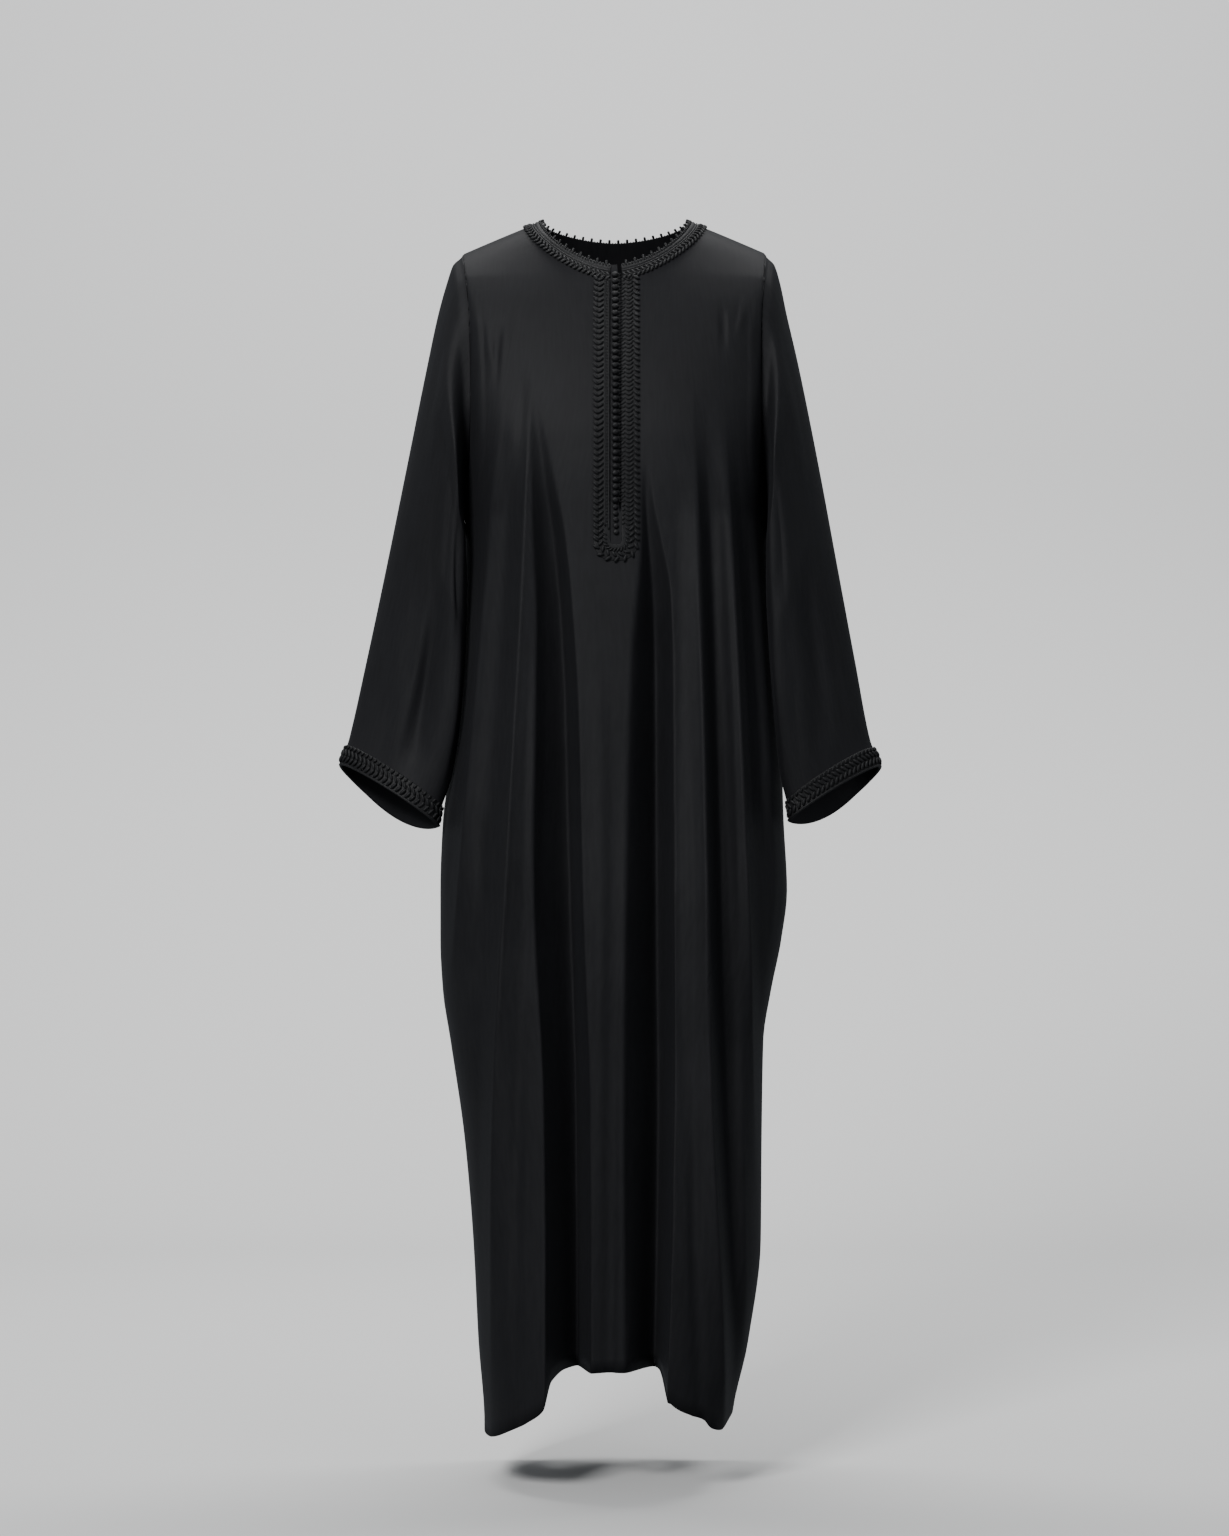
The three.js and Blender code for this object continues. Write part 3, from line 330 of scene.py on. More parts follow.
def track(rows, columns, column, place="z"):
    """A smooth curve through one named column of a table, against its place, flat at the ends."""
    table = np.array(sorted(rows), dtype=float)
    zs = table[:, columns.index(place)]
    values = table[:, columns.index(column)]
    chords = np.diff(values) / np.diff(zs)
    slopes = np.zeros(len(zs))
    before, after = chords[:-1], chords[1:]
    turning = before * after <= 0
    total = np.where(turning, 1, before + after)
    slopes[1:-1] = np.where(turning, 0, 2 * before * after / total)

    def value(z):
        z = np.clip(z, zs[0], zs[-1])
        i = np.clip(np.searchsorted(zs, z) - 1, 0, len(zs) - 2)
        step = zs[i + 1] - zs[i]
        t = (z - zs[i]) / step
        rest = 1 - t
        return (
            values[i] * (1 + 2 * t) * rest * rest
            + values[i + 1] * t * t * (3 - 2 * t)
            + slopes[i] * step * t * rest * rest
            - slopes[i + 1] * step * t * t * rest
        )

    return value


def soft_form(t):
    return (1 - t * t) ** 2


def crest_form(t):
    round_off = 0.04
    t = (np.sqrt(t * t + round_off**2) - round_off) / (math.hypot(1, round_off) - round_off)
    return (1 - t) ** 2 * (1 + 0.8 * t)


def valley_form(t):
    return (1 - t**1.4) ** 1.5


def steep_form(t):
    return 1 - t**1.6


# A fold's name ends with its form.
FOLD_FORMS = {"ridge": crest_form, "valley": valley_form, "recess": soft_form}


def fold_tracks(folds, creases):
    every = []
    for table in (folds, creases):
        for name, rows in table.items():
            fold = {column: track(rows, FOLD_COLUMNS, column) for column in FOLD_COLUMNS[1:]}
            usual = FOLD_FORMS[name.split("_")[-1]] if table is folds else soft_form
            for side in ("left", "right"):
                fold[side + "_form"] = steep_form if STEEP_SIDES.get(name) == side else usual
            every.append(fold)
    return every


body_track = {column: track(BODY_SECTIONS, BODY_COLUMNS, column) for column in BODY_COLUMNS[1:]}
FOLDS = {
    "front": fold_tracks(FRONT_FOLDS, FRONT_CREASES),
    "back": fold_tracks(BACK_FOLDS, BACK_CREASES),
}


# ------------------------------------------------------------------ the body's surface
def shoulder_height(x):
    bend = math.hypot(NECK_HALF_WIDTH, SHOULDER_BEND)
    return NECK_TOP - SHOULDER_SLOPE * (np.hypot(x, SHOULDER_BEND) - bend)


def neck_height(side, x):
    t = np.clip(np.abs(x) / NECK_HALF_WIDTH, 0, 1)
    return NECK_TOP - NECK_DROP[side] * (1 - t**1.6) ** 0.65


def top_height(side, x):
    return np.where(np.abs(x) < NECK_HALF_WIDTH, neck_height(side, x), shoulder_height(x))


def armhole_half_depth(z):
    t = np.clip((ARMHOLE_WIDEST - z) / (ARMHOLE_WIDEST - UNDERARM), 0, 1)
    return ARMHOLE_HALF_DEPTH * (1 - t**1.7)


def half_width(x, z):
    return np.where(x < 0, body_track["left"](z), body_track["right"](z))


def body_depth(side, x, z):
    """How far the front or back stands from the plane of the side seams."""
    x, z = np.broadcast_arrays(np.asarray(x, float), np.asarray(z, float))
    across = np.clip(np.abs(x) / half_width(x, z), 0, 1)
    centre = body_track[side](z)
    edge = np.minimum(armhole_half_depth(z), 0.9 * centre)
    depth = edge + (centre - edge) * np.sqrt(1 - across**2.8)
    off_seam = 1 - across**20
    for fold in FOLDS[side]:
        away = x - fold["x"](z)
        t = np.clip(np.abs(away) / np.where(away < 0, fold["left"](z), fold["right"](z)), 0, 1)
        share = np.where(away < 0, fold["left_form"](t), fold["right_form"](t))
        depth = depth + fold["out"](z) * share * off_seam
    down = np.clip((shoulder_height(x) - z) / SHOULDER_ROUND, 0, 1)
    return depth * np.sqrt(1 - (1 - down) ** 2)


def body_point(side, x, z):
    x, z = np.broadcast_arrays(np.asarray(x, float), np.asarray(z, float))
    return np.stack([x, FACING[side] * (body_depth(side, x, z) + SEAM_GAP / 2), z], axis=-1)


def unit(vectors):
    length = np.linalg.norm(vectors, axis=-1, keepdims=True)
    return vectors / np.maximum(length, 1e-9)


def grid_normals(points, turn, closed=False):
    """Unit normals of a grid of points [row, column], from its neighbours."""
    along = np.gradient(points, axis=0)
    if closed:
        across = np.roll(points, -1, axis=1) - np.roll(points, 1, axis=1)
    else:
        across = np.gradient(points, axis=1)
    return unit(np.cross(along, across) * turn)


# ------------------------------------------------------------------ meshes
def new_mesh(name, points, faces, uvs=None):
    """A mesh object from points in millimetres; faces is an array of quads or a list of polygons."""
    mesh = bpy.data.meshes.new(name)
    points = np.asarray(points, float).reshape(-1, 3) * MM
    mesh.from_pydata(points.tolist(), [], [list(map(int, face)) for face in faces])
    if uvs is not None:
        layer = mesh.uv_layers.new(name="cloth")
        corners = np.array([loop.vertex_index for loop in mesh.loops])
        layer.data.foreach_set("uv", np.asarray(uvs, float).reshape(-1, 2)[corners].ravel())
    mesh.update()
    for polygon in mesh.polygons:
        polygon.use_smooth = True
    piece = bpy.data.objects.new(name, mesh)
    bpy.context.scene.collection.objects.link(piece)
    return piece


def grid_faces(rows, columns, closed=False, flip=False):
    """Quads over a grid of rows by columns; closed joins the last column to the first."""
    index = np.arange(rows * columns).reshape(rows, columns)
    left = index if closed else index[:, :-1]
    right = np.roll(index, -1, axis=1) if closed else index[:, 1:]
    quads = np.stack([left[:-1], left[1:], right[1:], right[:-1]], axis=-1).reshape(-1, 4)
    return quads[:, ::-1] if flip else quads


def walled(faces, count):
    """Quads, the same quads turned over on a second layer of count points, and the rim between them."""
    edges = np.concatenate([faces[:, [k, (k + 1) % 4]] for k in range(4)]).tolist()
    keys = set(map(tuple, edges))
    rim = [(b, a, a + count, b + count) for a, b in edges if (b, a) not in keys]
    return np.concatenate([faces, faces[:, ::-1] + count, np.array(rim)])


def shell(name, points, faces, normals, uvs):
    """A closed wall of cloth: the outer points, and the same points moved in along their normals."""
    outer = points.reshape(-1, 3)
    inner = outer - normals.reshape(-1, 3) * CLOTH
    both_uvs = np.concatenate([uvs.reshape(-1, 2)] * 2)
    return new_mesh(name, np.concatenate([outer, inner]), walled(faces, len(outer)), both_uvs)


def finish_piece(piece, material, slot, *nodes):
    piece.data.materials.clear()
    piece.data.materials.append(material)
    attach(piece, "root")
    if nodes:
        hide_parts(*nodes)


# ------------------------------------------------------------------ panels
ROWS = {"front": 170, "back": 150}
COLUMNS = {"front": 272, "back": 210}


def even_places(side, z, columns):
    """Places across the body, as shares of its half width, that divide its folded width evenly."""
    swing = -np.cos(np.linspace(0, math.pi, 700))
    left, right = body_track["left"](z), body_track["right"](z)
    xs = mix(-left, right, (swing + 1) / 2)
    steps = np.hypot(np.diff(xs), np.diff(body_depth(side, xs, z)))
    lengths = np.concatenate([[0], np.cumsum(steps)])
    x = np.interp(np.linspace(0, lengths[-1], columns + 1), lengths, xs)
    return x / half_width(x, z)


def top_places(columns):
    """Places along the top edge: round the neck, then straight along each shoulder."""
    half = columns // 2
    neck = round(half * 0.55)
    away = np.abs(np.arange(columns + 1) - half)
    sign = np.sign(np.arange(columns + 1) - half)
    end = np.where(sign < 0, body_track["left"](ARMHOLE_TOP), body_track["right"](ARMHOLE_TOP))
    round_neck = NECK_HALF_WIDTH * np.sin(math.pi / 2 * np.clip(away / neck, 0, 1))
    on_shoulder = mix(NECK_HALF_WIDTH, end, np.clip((away - neck) / (half - neck), 0, 1))
    return sign * np.where(away <= neck, round_neck, on_shoulder)


hem_height = {side: track(HEMS[side], HEM_COLUMNS, "z", "x") for side in HEMS}


def panel_grid(side):
    """The panel's places x, z, a row for each height and a column for each place across."""
    rows, columns = ROWS[side], COLUMNS[side]
    power = math.log((ARMHOLE_TOP - UNDERARM) / (ARMHOLE_TOP - HEM_SIDE)) / math.log(0.5)
    v = np.linspace(0, 1, rows + 1) ** power
    top_x = top_places(columns)
    top_z = top_height(side, top_x)
    top_z[[0, -1]] = ARMHOLE_TOP
    hem_share = even_places(side, HEM_SIDE, columns)
    hem_z = hem_height[side](hem_share * half_width(hem_share, HEM_SIDE))
    z = mix(top_z[None, :], hem_z[None, :], v[:, None])
    even = np.array([even_places(side, mix(-20, -1350, share), columns) for share in v])
    wide = half_width(np.broadcast_to(top_x, z.shape), z)
    top_share = (1 - smooth(v / 0.13))[:, None]
    share = mix(even, top_x[None, :] / wide, top_share)
    share[:, 0], share[:, -1] = -1, 1
    wide = half_width(share, z)
    return np.clip(share, -1, 1) * wide, z, v


def part_the_slit(x, z):
    """Brings one column of the front to the slit, and gives each half its own copy of that column."""
    columns = x.shape[1] - 1
    slit = int(np.argmin(np.abs(x[len(x) // 4] - SLIT_X)))
    window = np.clip(1 - np.abs(np.arange(columns + 1) - slit) / 14, 0, 1) ** 0.8
    hold = smooth((z[:, slit] - (SLIT_FOOT - 70)) / 60)
    x = x + ((SLIT_X - x[:, slit]) * hold)[:, None] * window[None, :]
    top = neck_height("front", SLIT_X)
    opening = SLIT_HALF_GAP + 2.6 * np.clip((z[:, slit] - (top - 40)) / 40, 0, 1) ** 1.4
    opening = np.where(z[:, slit] > SLIT_FOOT, opening, 0)
    push = np.clip(1 - np.abs(np.arange(columns + 1) - slit) / 12, 0, 1) ** 1.2
    left = (x - opening[:, None] * push[None, :])[:, : slit + 1]
    right = (x + opening[:, None] * push[None, :])[:, slit:]
    return left, z[:, : slit + 1], right, z[:, slit:]


def panel_points(side, x, z, v, first=True, last=True):
    """A panel's points and normals; its walls meet square at the shoulders and at its side seams."""
    neck = np.abs(x[0]) < NECK_HALF_WIDTH - 0.01
    below = v >= (ARMHOLE_TOP - UNDERARM) / (ARMHOLE_TOP - HEM_SIDE)
    seams = [(0, ~neck)] + [(below, column) for column, wanted in ((0, first), (-1, last)) if wanted]
    points = body_point(side, x, z)
    for rows, columns in seams:
        points[rows, columns, 1] = FACING[side] * SEAM_GAP / 2
    normals = grid_normals(points, -FACING[side])
    for rows, columns in seams:
        normals[rows, columns, 1] = 0
    return points, unit(normals)


def cloth_uvs(points):
    """Lengths along and across the cloth, in metres, so that a weave keeps its size."""
    across = np.linalg.norm(np.diff(points, axis=1), axis=-1).mean(axis=0)
    along = np.linalg.norm(np.diff(points, axis=0), axis=-1).mean(axis=1)
    u = np.concatenate([[0], np.cumsum(across)]) * MM
    w = -np.concatenate([[0], np.cumsum(along)]) * MM
    return np.stack(np.broadcast_arrays(u[None, :], w[:, None]), axis=-1)


def make_front():
    x, z, v = panel_grid("front")
    left_x, left_z, right_x, right_z = part_the_slit(x, z)
    left, left_normals = panel_points("front", left_x, left_z, v, last=False)
    right, right_normals = panel_points("front", right_x, right_z, v, first=False)
    # below the slit's foot the two halves share their column
    shared = left_z[:, -1] <= SLIT_FOOT
    left_normals[shared, -1] = unit(left_normals[:, -1] + right_normals[:, 0])[shared]
    left_index = np.arange(left_x.size).reshape(left_x.shape)
    right_index = np.arange(right_x.size).reshape(right_x.shape) + left_x.size
    right_index[shared, 0] = left_index[shared, -1]
    faces = [grid_faces(*left_x.shape), right_index.ravel()[grid_faces(*right_x.shape)]]
    uvs = cloth_uvs(panel_points("front", x, z, v)[0])
    slit = left_x.shape[1] - 1
    points, normals, both_uvs = (
        np.concatenate([a.reshape(-1, a.shape[-1]), b.reshape(-1, b.shape[-1])])
        for a, b in ((left, right), (left_normals, right_normals), (uvs[:, : slit + 1], uvs[:, slit:]))
    )
    return shell("front_cloth", points, np.concatenate(faces), normals, both_uvs)


def make_back():
    x, z, v = panel_grid("back")
    points, normals = panel_points("back", x, z, v)
    return shell("back_cloth", points, grid_faces(*x.shape, flip=True), normals, cloth_uvs(points))


# ------------------------------------------------------------------ sleeves
def sleeve_oval(sleeve, angle, along):
    """The sleeve's outer surface away from its seam: an oval from its outer to its inner edge."""
    outer_z = mix(sleeve["outer"][0][0], sleeve["outer"][-1][0], along)
    inner_z = mix(sleeve["inner"][0][0], sleeve["inner"][-1][0], along)
    outer_x = track(sleeve["outer"], SLEEVE_EDGE, "x")(outer_z)
    inner_x = track(sleeve["inner"], SLEEVE_EDGE, "x")(inner_z)
    swing, lift = np.cos(np.radians(angle)), np.sin(np.radians(angle))
    upper = mix(ARMHOLE_HALF_DEPTH, 52, smooth(along / 0.6))
    depth = mix(upper, CUFF_HALF_DEPTH, smooth((along - 0.45) / 0.55))
    stand = 0
    for start, end, middle, width, out in sleeve["folds"].values():
        t = np.abs((angle - middle + 540) % 360 - 180) / width
        s = (2 * along - start - end) / (end - start)
        stand = stand + out * np.clip(1 - t * t, 0, 1) ** 2 * np.clip(1 - s * s, 0, 1) ** 1.5
    tilt = np.where(lift > 0, CUFF_FRONT_RISE, CUFF_BACK_DROP) * lift
    inward = (1 - swing) / 2
    started = smooth(along / mix(FORWARD_BY["front"], FORWARD_BY["back"], np.clip(-3 * lift, 0, 1)))
    hollow = INNER_HOLLOW * np.maximum(-lift, 0) * inward * started
    forward = mix(INNER_FORWARD, CUFF_FORWARD, along) * started * inward**1.5
    x = mix(outer_x, inner_x, inward) + sleeve["side"] * (hollow + stand * swing)
    y = -lift * depth - np.sign(lift) * stand * np.abs(lift) - forward
    z = mix(outer_z, inner_z, inward) + tilt * smooth((along - 0.55) / 0.45)
    return np.stack(np.broadcast_arrays(x, y, z), axis=-1)


def armhole_loop(sleeve, angle):
    """Points of the armhole at angles round it: 0 at the shoulder, 90 in front, 180 underarm."""
    z = mix(UNDERARM, ARMHOLE_TOP, (1 + np.cos(np.radians(angle))) / 2)
    x = sleeve["side"] * half_width(np.full_like(z, sleeve["side"]), z)
    front = np.sin(np.radians(angle)) >= 0
    depth = np.where(front, body_depth("front", x, z), body_depth("back", x, z))
    return np.stack([x + sleeve["side"] * SEAM_GAP, np.where(front, -depth, depth), z], axis=-1)


def sleeve_surface(sleeve, angle, along):
    """Points of the sleeve: the armhole's own loop at its start, easing into the oval."""
    angle, along = np.broadcast_arrays(np.asarray(angle, float), np.asarray(along, float))
    shift = armhole_loop(sleeve, angle) - sleeve_oval(sleeve, angle, np.zeros_like(along))
    hold = np.clip(1 - along / 0.3, 0, 1)[..., None] ** 2
    return sleeve_oval(sleeve, angle, along) + shift * hold


SLEEVE_AROUND = 128
SLEEVE_ALONG = 150


def make_sleeve(name):
    sleeve = SLEEVES[name]
    angle = np.linspace(0, 360, SLEEVE_AROUND, endpoint=False)[None, :]
    along = np.linspace(0, 1, SLEEVE_ALONG)[:, None] ** 1.1
    points = sleeve_surface(sleeve, angle, along)
    normals = grid_normals(points, -sleeve["side"], closed=True)
    faces = grid_faces(SLEEVE_ALONG, SLEEVE_AROUND, closed=True, flip=sleeve["side"] > 0)
    return shell(f"sleeve_{name}_cloth", points, faces, normals, cloth_uvs(points))


# ------------------------------------------------------------------ thread work
def ball_template(around, rings):
    """A unit ball: points and faces, one pole along +x."""
    theta = np.linspace(0, math.pi, rings + 1)[1:-1]
    phi = np.linspace(0, 2 * math.pi, around, endpoint=False)
    ring = np.stack(
        [
            np.broadcast_to(np.cos(theta)[:, None], (rings - 1, around)),
            np.sin(theta)[:, None] * np.cos(phi)[None, :],
            np.sin(theta)[:, None] * np.sin(phi)[None, :],
        ],
        axis=-1,
    ).reshape(-1, 3)
    points = np.concatenate([ring, [[1, 0, 0], [-1, 0, 0]]])
    faces = [tuple(face) for face in grid_faces(rings - 1, around, closed=True)]
    first, last = len(ring), len(ring) + 1
    foot = (rings - 2) * around
    for k in range(around):
        after = (k + 1) % around
        faces.append((first, k, after))
        faces.append((last, foot + after, foot + k))
    return points, faces


GRAIN = ball_template(8, 6)


def grains(centres, along, normals, length, width, height):
    """Small oval stitches: one at each centre, lying along its own direction on its normal."""
    centres, along, normals = (np.asarray(a, float).reshape(-1, 3) for a in (centres, along, normals))
    along = unit(along - normals * np.sum(along * normals, axis=-1, keepdims=True))
    side = np.cross(normals, along)
    points, faces = GRAIN
    placed = (
        centres[:, None]
        + along[:, None] * points[None, :, 0:1] * length / 2
        + side[:, None] * points[None, :, 1:2] * width / 2
        + normals[:, None] * points[None, :, 2:3] * height / 2
    )
    shift = np.arange(len(centres)) * len(points)
    every = [tuple(int(k + s) for k in face) for s in shift for face in faces]
    return placed.reshape(-1, 3), every


def joined(name, parts):
    """One mesh from several (points, faces) parts."""
    points, faces, start = [], [], 0
    for part_points, part_faces in parts:
        points.append(np.asarray(part_points).reshape(-1, 3))
        faces.extend(tuple(int(k) + start for k in face) for face in part_faces)
        start += len(points[-1])
    return new_mesh(name, np.concatenate(points), faces)


def tube(path, normals, radius, sides, closed=False):
    """A round cord along a path of points, with flat fans at its ends where it is open."""
    path = np.asarray(path, float)
    if closed:
        forward = unit(np.roll(path, -1, axis=0) - np.roll(path, 1, axis=0))
    else:
        forward = unit(np.gradient(path, axis=0))
    up = unit(normals - forward * np.sum(normals * forward, axis=-1, keepdims=True))
    side = np.cross(forward, up)
    turn = np.linspace(0, 2 * math.pi, sides, endpoint=False)
    ring = path[:, None] + radius * (
        up[:, None] * np.cos(turn)[None, :, None] + side[:, None] * np.sin(turn)[None, :, None]
    )
    count = len(path)
    faces = [tuple(face) for face in grid_faces(count, sides, closed=True)]
    if closed:
        for k in range(sides):
            after = (k + 1) % sides
            faces.append(((count - 1) * sides + k, k, after, (count - 1) * sides + after))
    else:
        faces.append(tuple(range(sides)))
        faces.append(tuple(reversed(range((count - 1) * sides, count * sides))))
    return ring.reshape(-1, 3), faces


def lengths_along(path):
    """The length walked to each point of a path, or down each column of a grid of points."""
    steps = np.linalg.norm(np.diff(path, axis=0), axis=-1)
    return np.concatenate([np.zeros_like(steps[:1]), np.cumsum(steps, axis=0)])


def resample(path, count):
    """The same line with evenly spaced points."""
    lengths = lengths_along(path)
    at = np.linspace(0, lengths[-1], count)
    return np.stack([np.interp(at, lengths, path[:, k]) for k in range(3)], axis=-1)


class Ribbon:
    """Places on the cloth by how far along a braid's edge and how far in from it, in millimetres."""

    def __init__(self, lines, depths, turn, closed=False):
        self.depths = np.asarray(depths, float)
        self.closed = closed
        self.grid = np.asarray(lines)
        self.normals = grid_normals(self.grid, turn, closed)
        middle = self.grid[len(lines) // 2]
        ends = np.concatenate([middle, middle[:1]]) if closed else middle
        self.lengths = lengths_along(ends)
        self.length = self.lengths[-1]

    def _pick(self, table, s, d):
        columns = table.shape[1]
        at = np.interp(s, self.lengths, np.arange(len(self.lengths)))
        low = np.floor(at).astype(int)
        part = (at - low)[:, None]
        after = (low + 1) % columns if self.closed else np.minimum(low + 1, columns - 1)
        low = low % columns
        row = np.interp(d, self.depths, np.arange(len(self.depths)))
        above = np.minimum(np.floor(row).astype(int), len(self.depths) - 2)
        down = (row - above)[:, None]
        upper = mix(table[above, low], table[above, after], part)
        lower = mix(table[above + 1, low], table[above + 1, after], part)
        return mix(upper, lower, down)

    def at(self, s, d, out=0.0):
        s = np.asarray(s, float)
        s = s % self.length if self.closed else np.clip(s, 0, self.length)
        d = np.broadcast_to(np.asarray(d, float), s.shape)
        normals = unit(self._pick(self.normals, s, d))
        return self._pick(self.grid, s, d) + normals * out, normals

    def base(self, profile, places):
        """The low closed strip under the stitches, from a depth and a height for each of its lines."""
        depths, heights = np.array(profile).T
        s = np.linspace(0, self.length, places, endpoint=not self.closed)
        points, normals = (np.array(rows) for rows in zip(*(self.at(s, d) for d in depths)))
        over = points + normals * (ON_CLOTH * 0.4 + heights[:, None, None])
        under = points + normals * (ON_CLOTH * 0.2)
        faces = walled(grid_faces(len(depths), places, self.closed), len(depths) * places)
        return np.concatenate([over.reshape(-1, 3), under.reshape(-1, 3)]), faces

    def stitches(self, pitch, d, slant, length, width, height, lift=0.5, start=0.0, end=None):
        """A row of slanting oval stitches, a pitch apart, at one depth in the braid."""
        end = self.length if end is None else end
        count = max(2, round((end - start) / pitch))
        s = start + (np.arange(count) + 0.5) * (end - start) / count
        centre, normal = self.at(s, d, ON_CLOTH + height * lift)
        ahead, _ = self.at(s + 1.0, d)
        behind, _ = self.at(s - 1.0, d)
        inward, _ = self.at(s, np.asarray(d) + 0.8)
        outward, _ = self.at(s, np.asarray(d) - 0.8)
        forward, across = unit(ahead - behind), unit(inward - outward)
        angle = math.radians(slant)
        along = forward * math.cos(angle) + across * math.sin(angle)
        return grains(centre, along, normal, length, width, height)

    def cord(self, d, radius, lift, end=None):
        """A smooth cord laid along the braid at one depth, from its start."""
        end = self.length if end is None else end
        count = max(4, round(end / CORD_STEP))
        s = np.linspace(0, end, count, endpoint=not self.closed)
        path, normals = self.at(s, d, ON_CLOTH + radius * lift)
        return tube(path, normals, radius, 8, self.closed)


def lines_at(marks, walked, trail):
    """Lines across a trail of places, each where the length walked reaches its mark."""
    places = range(trail.shape[1])
    return [
        np.stack(
            [[np.interp(mark, walked[:, k], trail[:, k, axis]) for k in places] for axis in range(3)],
            axis=-1,
        )
        for mark in marks
    ]


# ------------------------------------------------------------------ neck braid
def height_over(x, y):
    """The height of the body's surface over places in plan, between the shoulder line and chest."""
    target = np.maximum(np.abs(y) - SEAM_GAP / 2, 0)
    high = shoulder_height(x)
    low = np.full_like(high, -235.0)
    for _ in range(34):
        middle = (high + low) / 2
        front = body_depth("front", x, middle)
        back = body_depth("back", x, middle)
        short = np.where(y < 0, front, back) < target
        high = np.where(short, middle, high)
        low = np.where(short, low, middle)
    return (high + low) / 2


def neck_ribbon():
    turn = np.linspace(
        math.asin((SLIT_X + 1.6) / NECK_HALF_WIDTH),
        2 * math.pi + math.asin((SLIT_X - 10.4) / NECK_HALF_WIDTH),
        1441,
    )
    x = NECK_HALF_WIDTH * np.sin(turn)
    front = body_point("front", x, neck_height("front", x))
    back = body_point("back", x, neck_height("back", x))
    edge = resample(np.where(np.cos(turn)[:, None] > 0, front, back), 361)
    reach = 9
    padded_edge = np.pad(edge, ((reach, reach), (0, 0)), mode="edge")
    tangent = padded_edge[2 * reach :] - padded_edge[: -2 * reach]
    away = unit(np.stack([tangent[:, 1], -tangent[:, 0]], axis=-1))
    step = 0.5
    line = edge.copy()
    walked = np.zeros(len(edge))
    marks = np.arange(1.5, BRAID_WIDTH + 3.1, 1.5)
    out = np.zeros(len(edge))
    trail, trail_length = [edge.copy()], [walked.copy()]
    for _ in range(int(2.2 * BRAID_WIDTH / step)):
        out = out + step / 1.5
        px = edge[:, 0] + away[:, 0] * out
        py = edge[:, 1] + away[:, 1] * out
        here = np.stack([px, py, height_over(px, py)], axis=-1)
        walked = walked + np.linalg.norm(here - line, axis=1)
        line = here
        trail.append(here)
        trail_length.append(walked.copy())
    trail, trail_length = np.array(trail), np.array(trail_length)
    lines = [edge] + lines_at(marks, trail_length, trail)
    # the picots stand up beyond the edge
    above = edge - unit(lines[2] - edge) * 5.0
    return Ribbon([above] + lines, [-5.0, 0.0, *marks], 1.0)


def make_neck_braid(ribbon):
    profile = [
        (0.2, 0.5), (1.0, 1.1), (2.6, 1.1), (3.4, 1.2), (5.4, 1.9), (7.4, 1.2), (8.2, 0.5),
        (20.0, 0.5), (21.0, 0.2),
    ]
    parts = [ribbon.base(profile, 340)]
    pitch = ribbon.length / PICOT_COUNT
    # picots: a stalk with a bead of thread at its end
    parts.append(ribbon.stitches(pitch, -0.4, 90, 4.8, 3.2, 2.6, lift=0.35))
    parts.append(ribbon.stitches(pitch, -2.4, 90, 3.4, 3.3, 2.8, lift=0.3))
    parts.append(ribbon.stitches(pitch / 3, 1.6, 64, 3.4, 2.2, 2.0, lift=0.6))
    parts.append(ribbon.cord(9.4, 1.05, lift=0.7))
    parts.append(ribbon.cord(11.7, 1.05, lift=0.7))
    parts.append(ribbon.stitches(5.6, 15.0, 50, 7.4, 2.9, 2.8, lift=0.6))
    parts.append(ribbon.stitches(5.6, 19.4, -52, 7.2, 3.2, 3.2, lift=0.55))
    return joined("neck_braid_thread", parts)


# ------------------------------------------------------------------ placket braid
def placket_ribbon(neck):
    """The U of braid beside the slit: down its left leg, round the foot, up the right leg."""
    middle = (PLACKET_LEFT + PLACKET_RIGHT) / 2
    width = 20.6
    depths = np.arange(0, width + 0.1, width / 12)
    # its legs start where the neck braid ends
    s = np.linspace(0, neck.length, 1200)
    edge, _ = neck.at(s, BRAID_WIDTH - 1.0)
    edge = edge[(edge[:, 1] < -40) & (np.abs(edge[:, 0]) < 60)]
    edge = edge[np.argsort(edge[:, 0])]
    lines = []
    for away in depths:
        half = (PLACKET_RIGHT - PLACKET_LEFT) / 2 - away
        foot = mix(PLACKET_TURN - PLACKET_FOOT, 5.0, away / width)
        left_top, right_top = np.interp([middle - half, middle + half], edge[:, 0], edge[:, 2])
        share = np.linspace(0, 1, 110, endpoint=False)
        turn = np.linspace(0, math.pi, 61)
        cos = np.cos(turn)
        foot_x = -np.sign(cos) * np.abs(cos) ** 0.8 * half
        foot_z = PLACKET_TURN - foot * np.abs(np.sin(turn)) ** 0.8
        x = np.concatenate([np.full(110, -half), foot_x, np.full(110, half)])
        left_z, right_z = mix(left_top, PLACKET_TURN, share), mix(right_top, PLACKET_TURN, share)
        lines.append(body_point("front", middle + x, np.concatenate([left_z, foot_z, right_z[::-1]])))
    return Ribbon(lines, depths, -1.0)


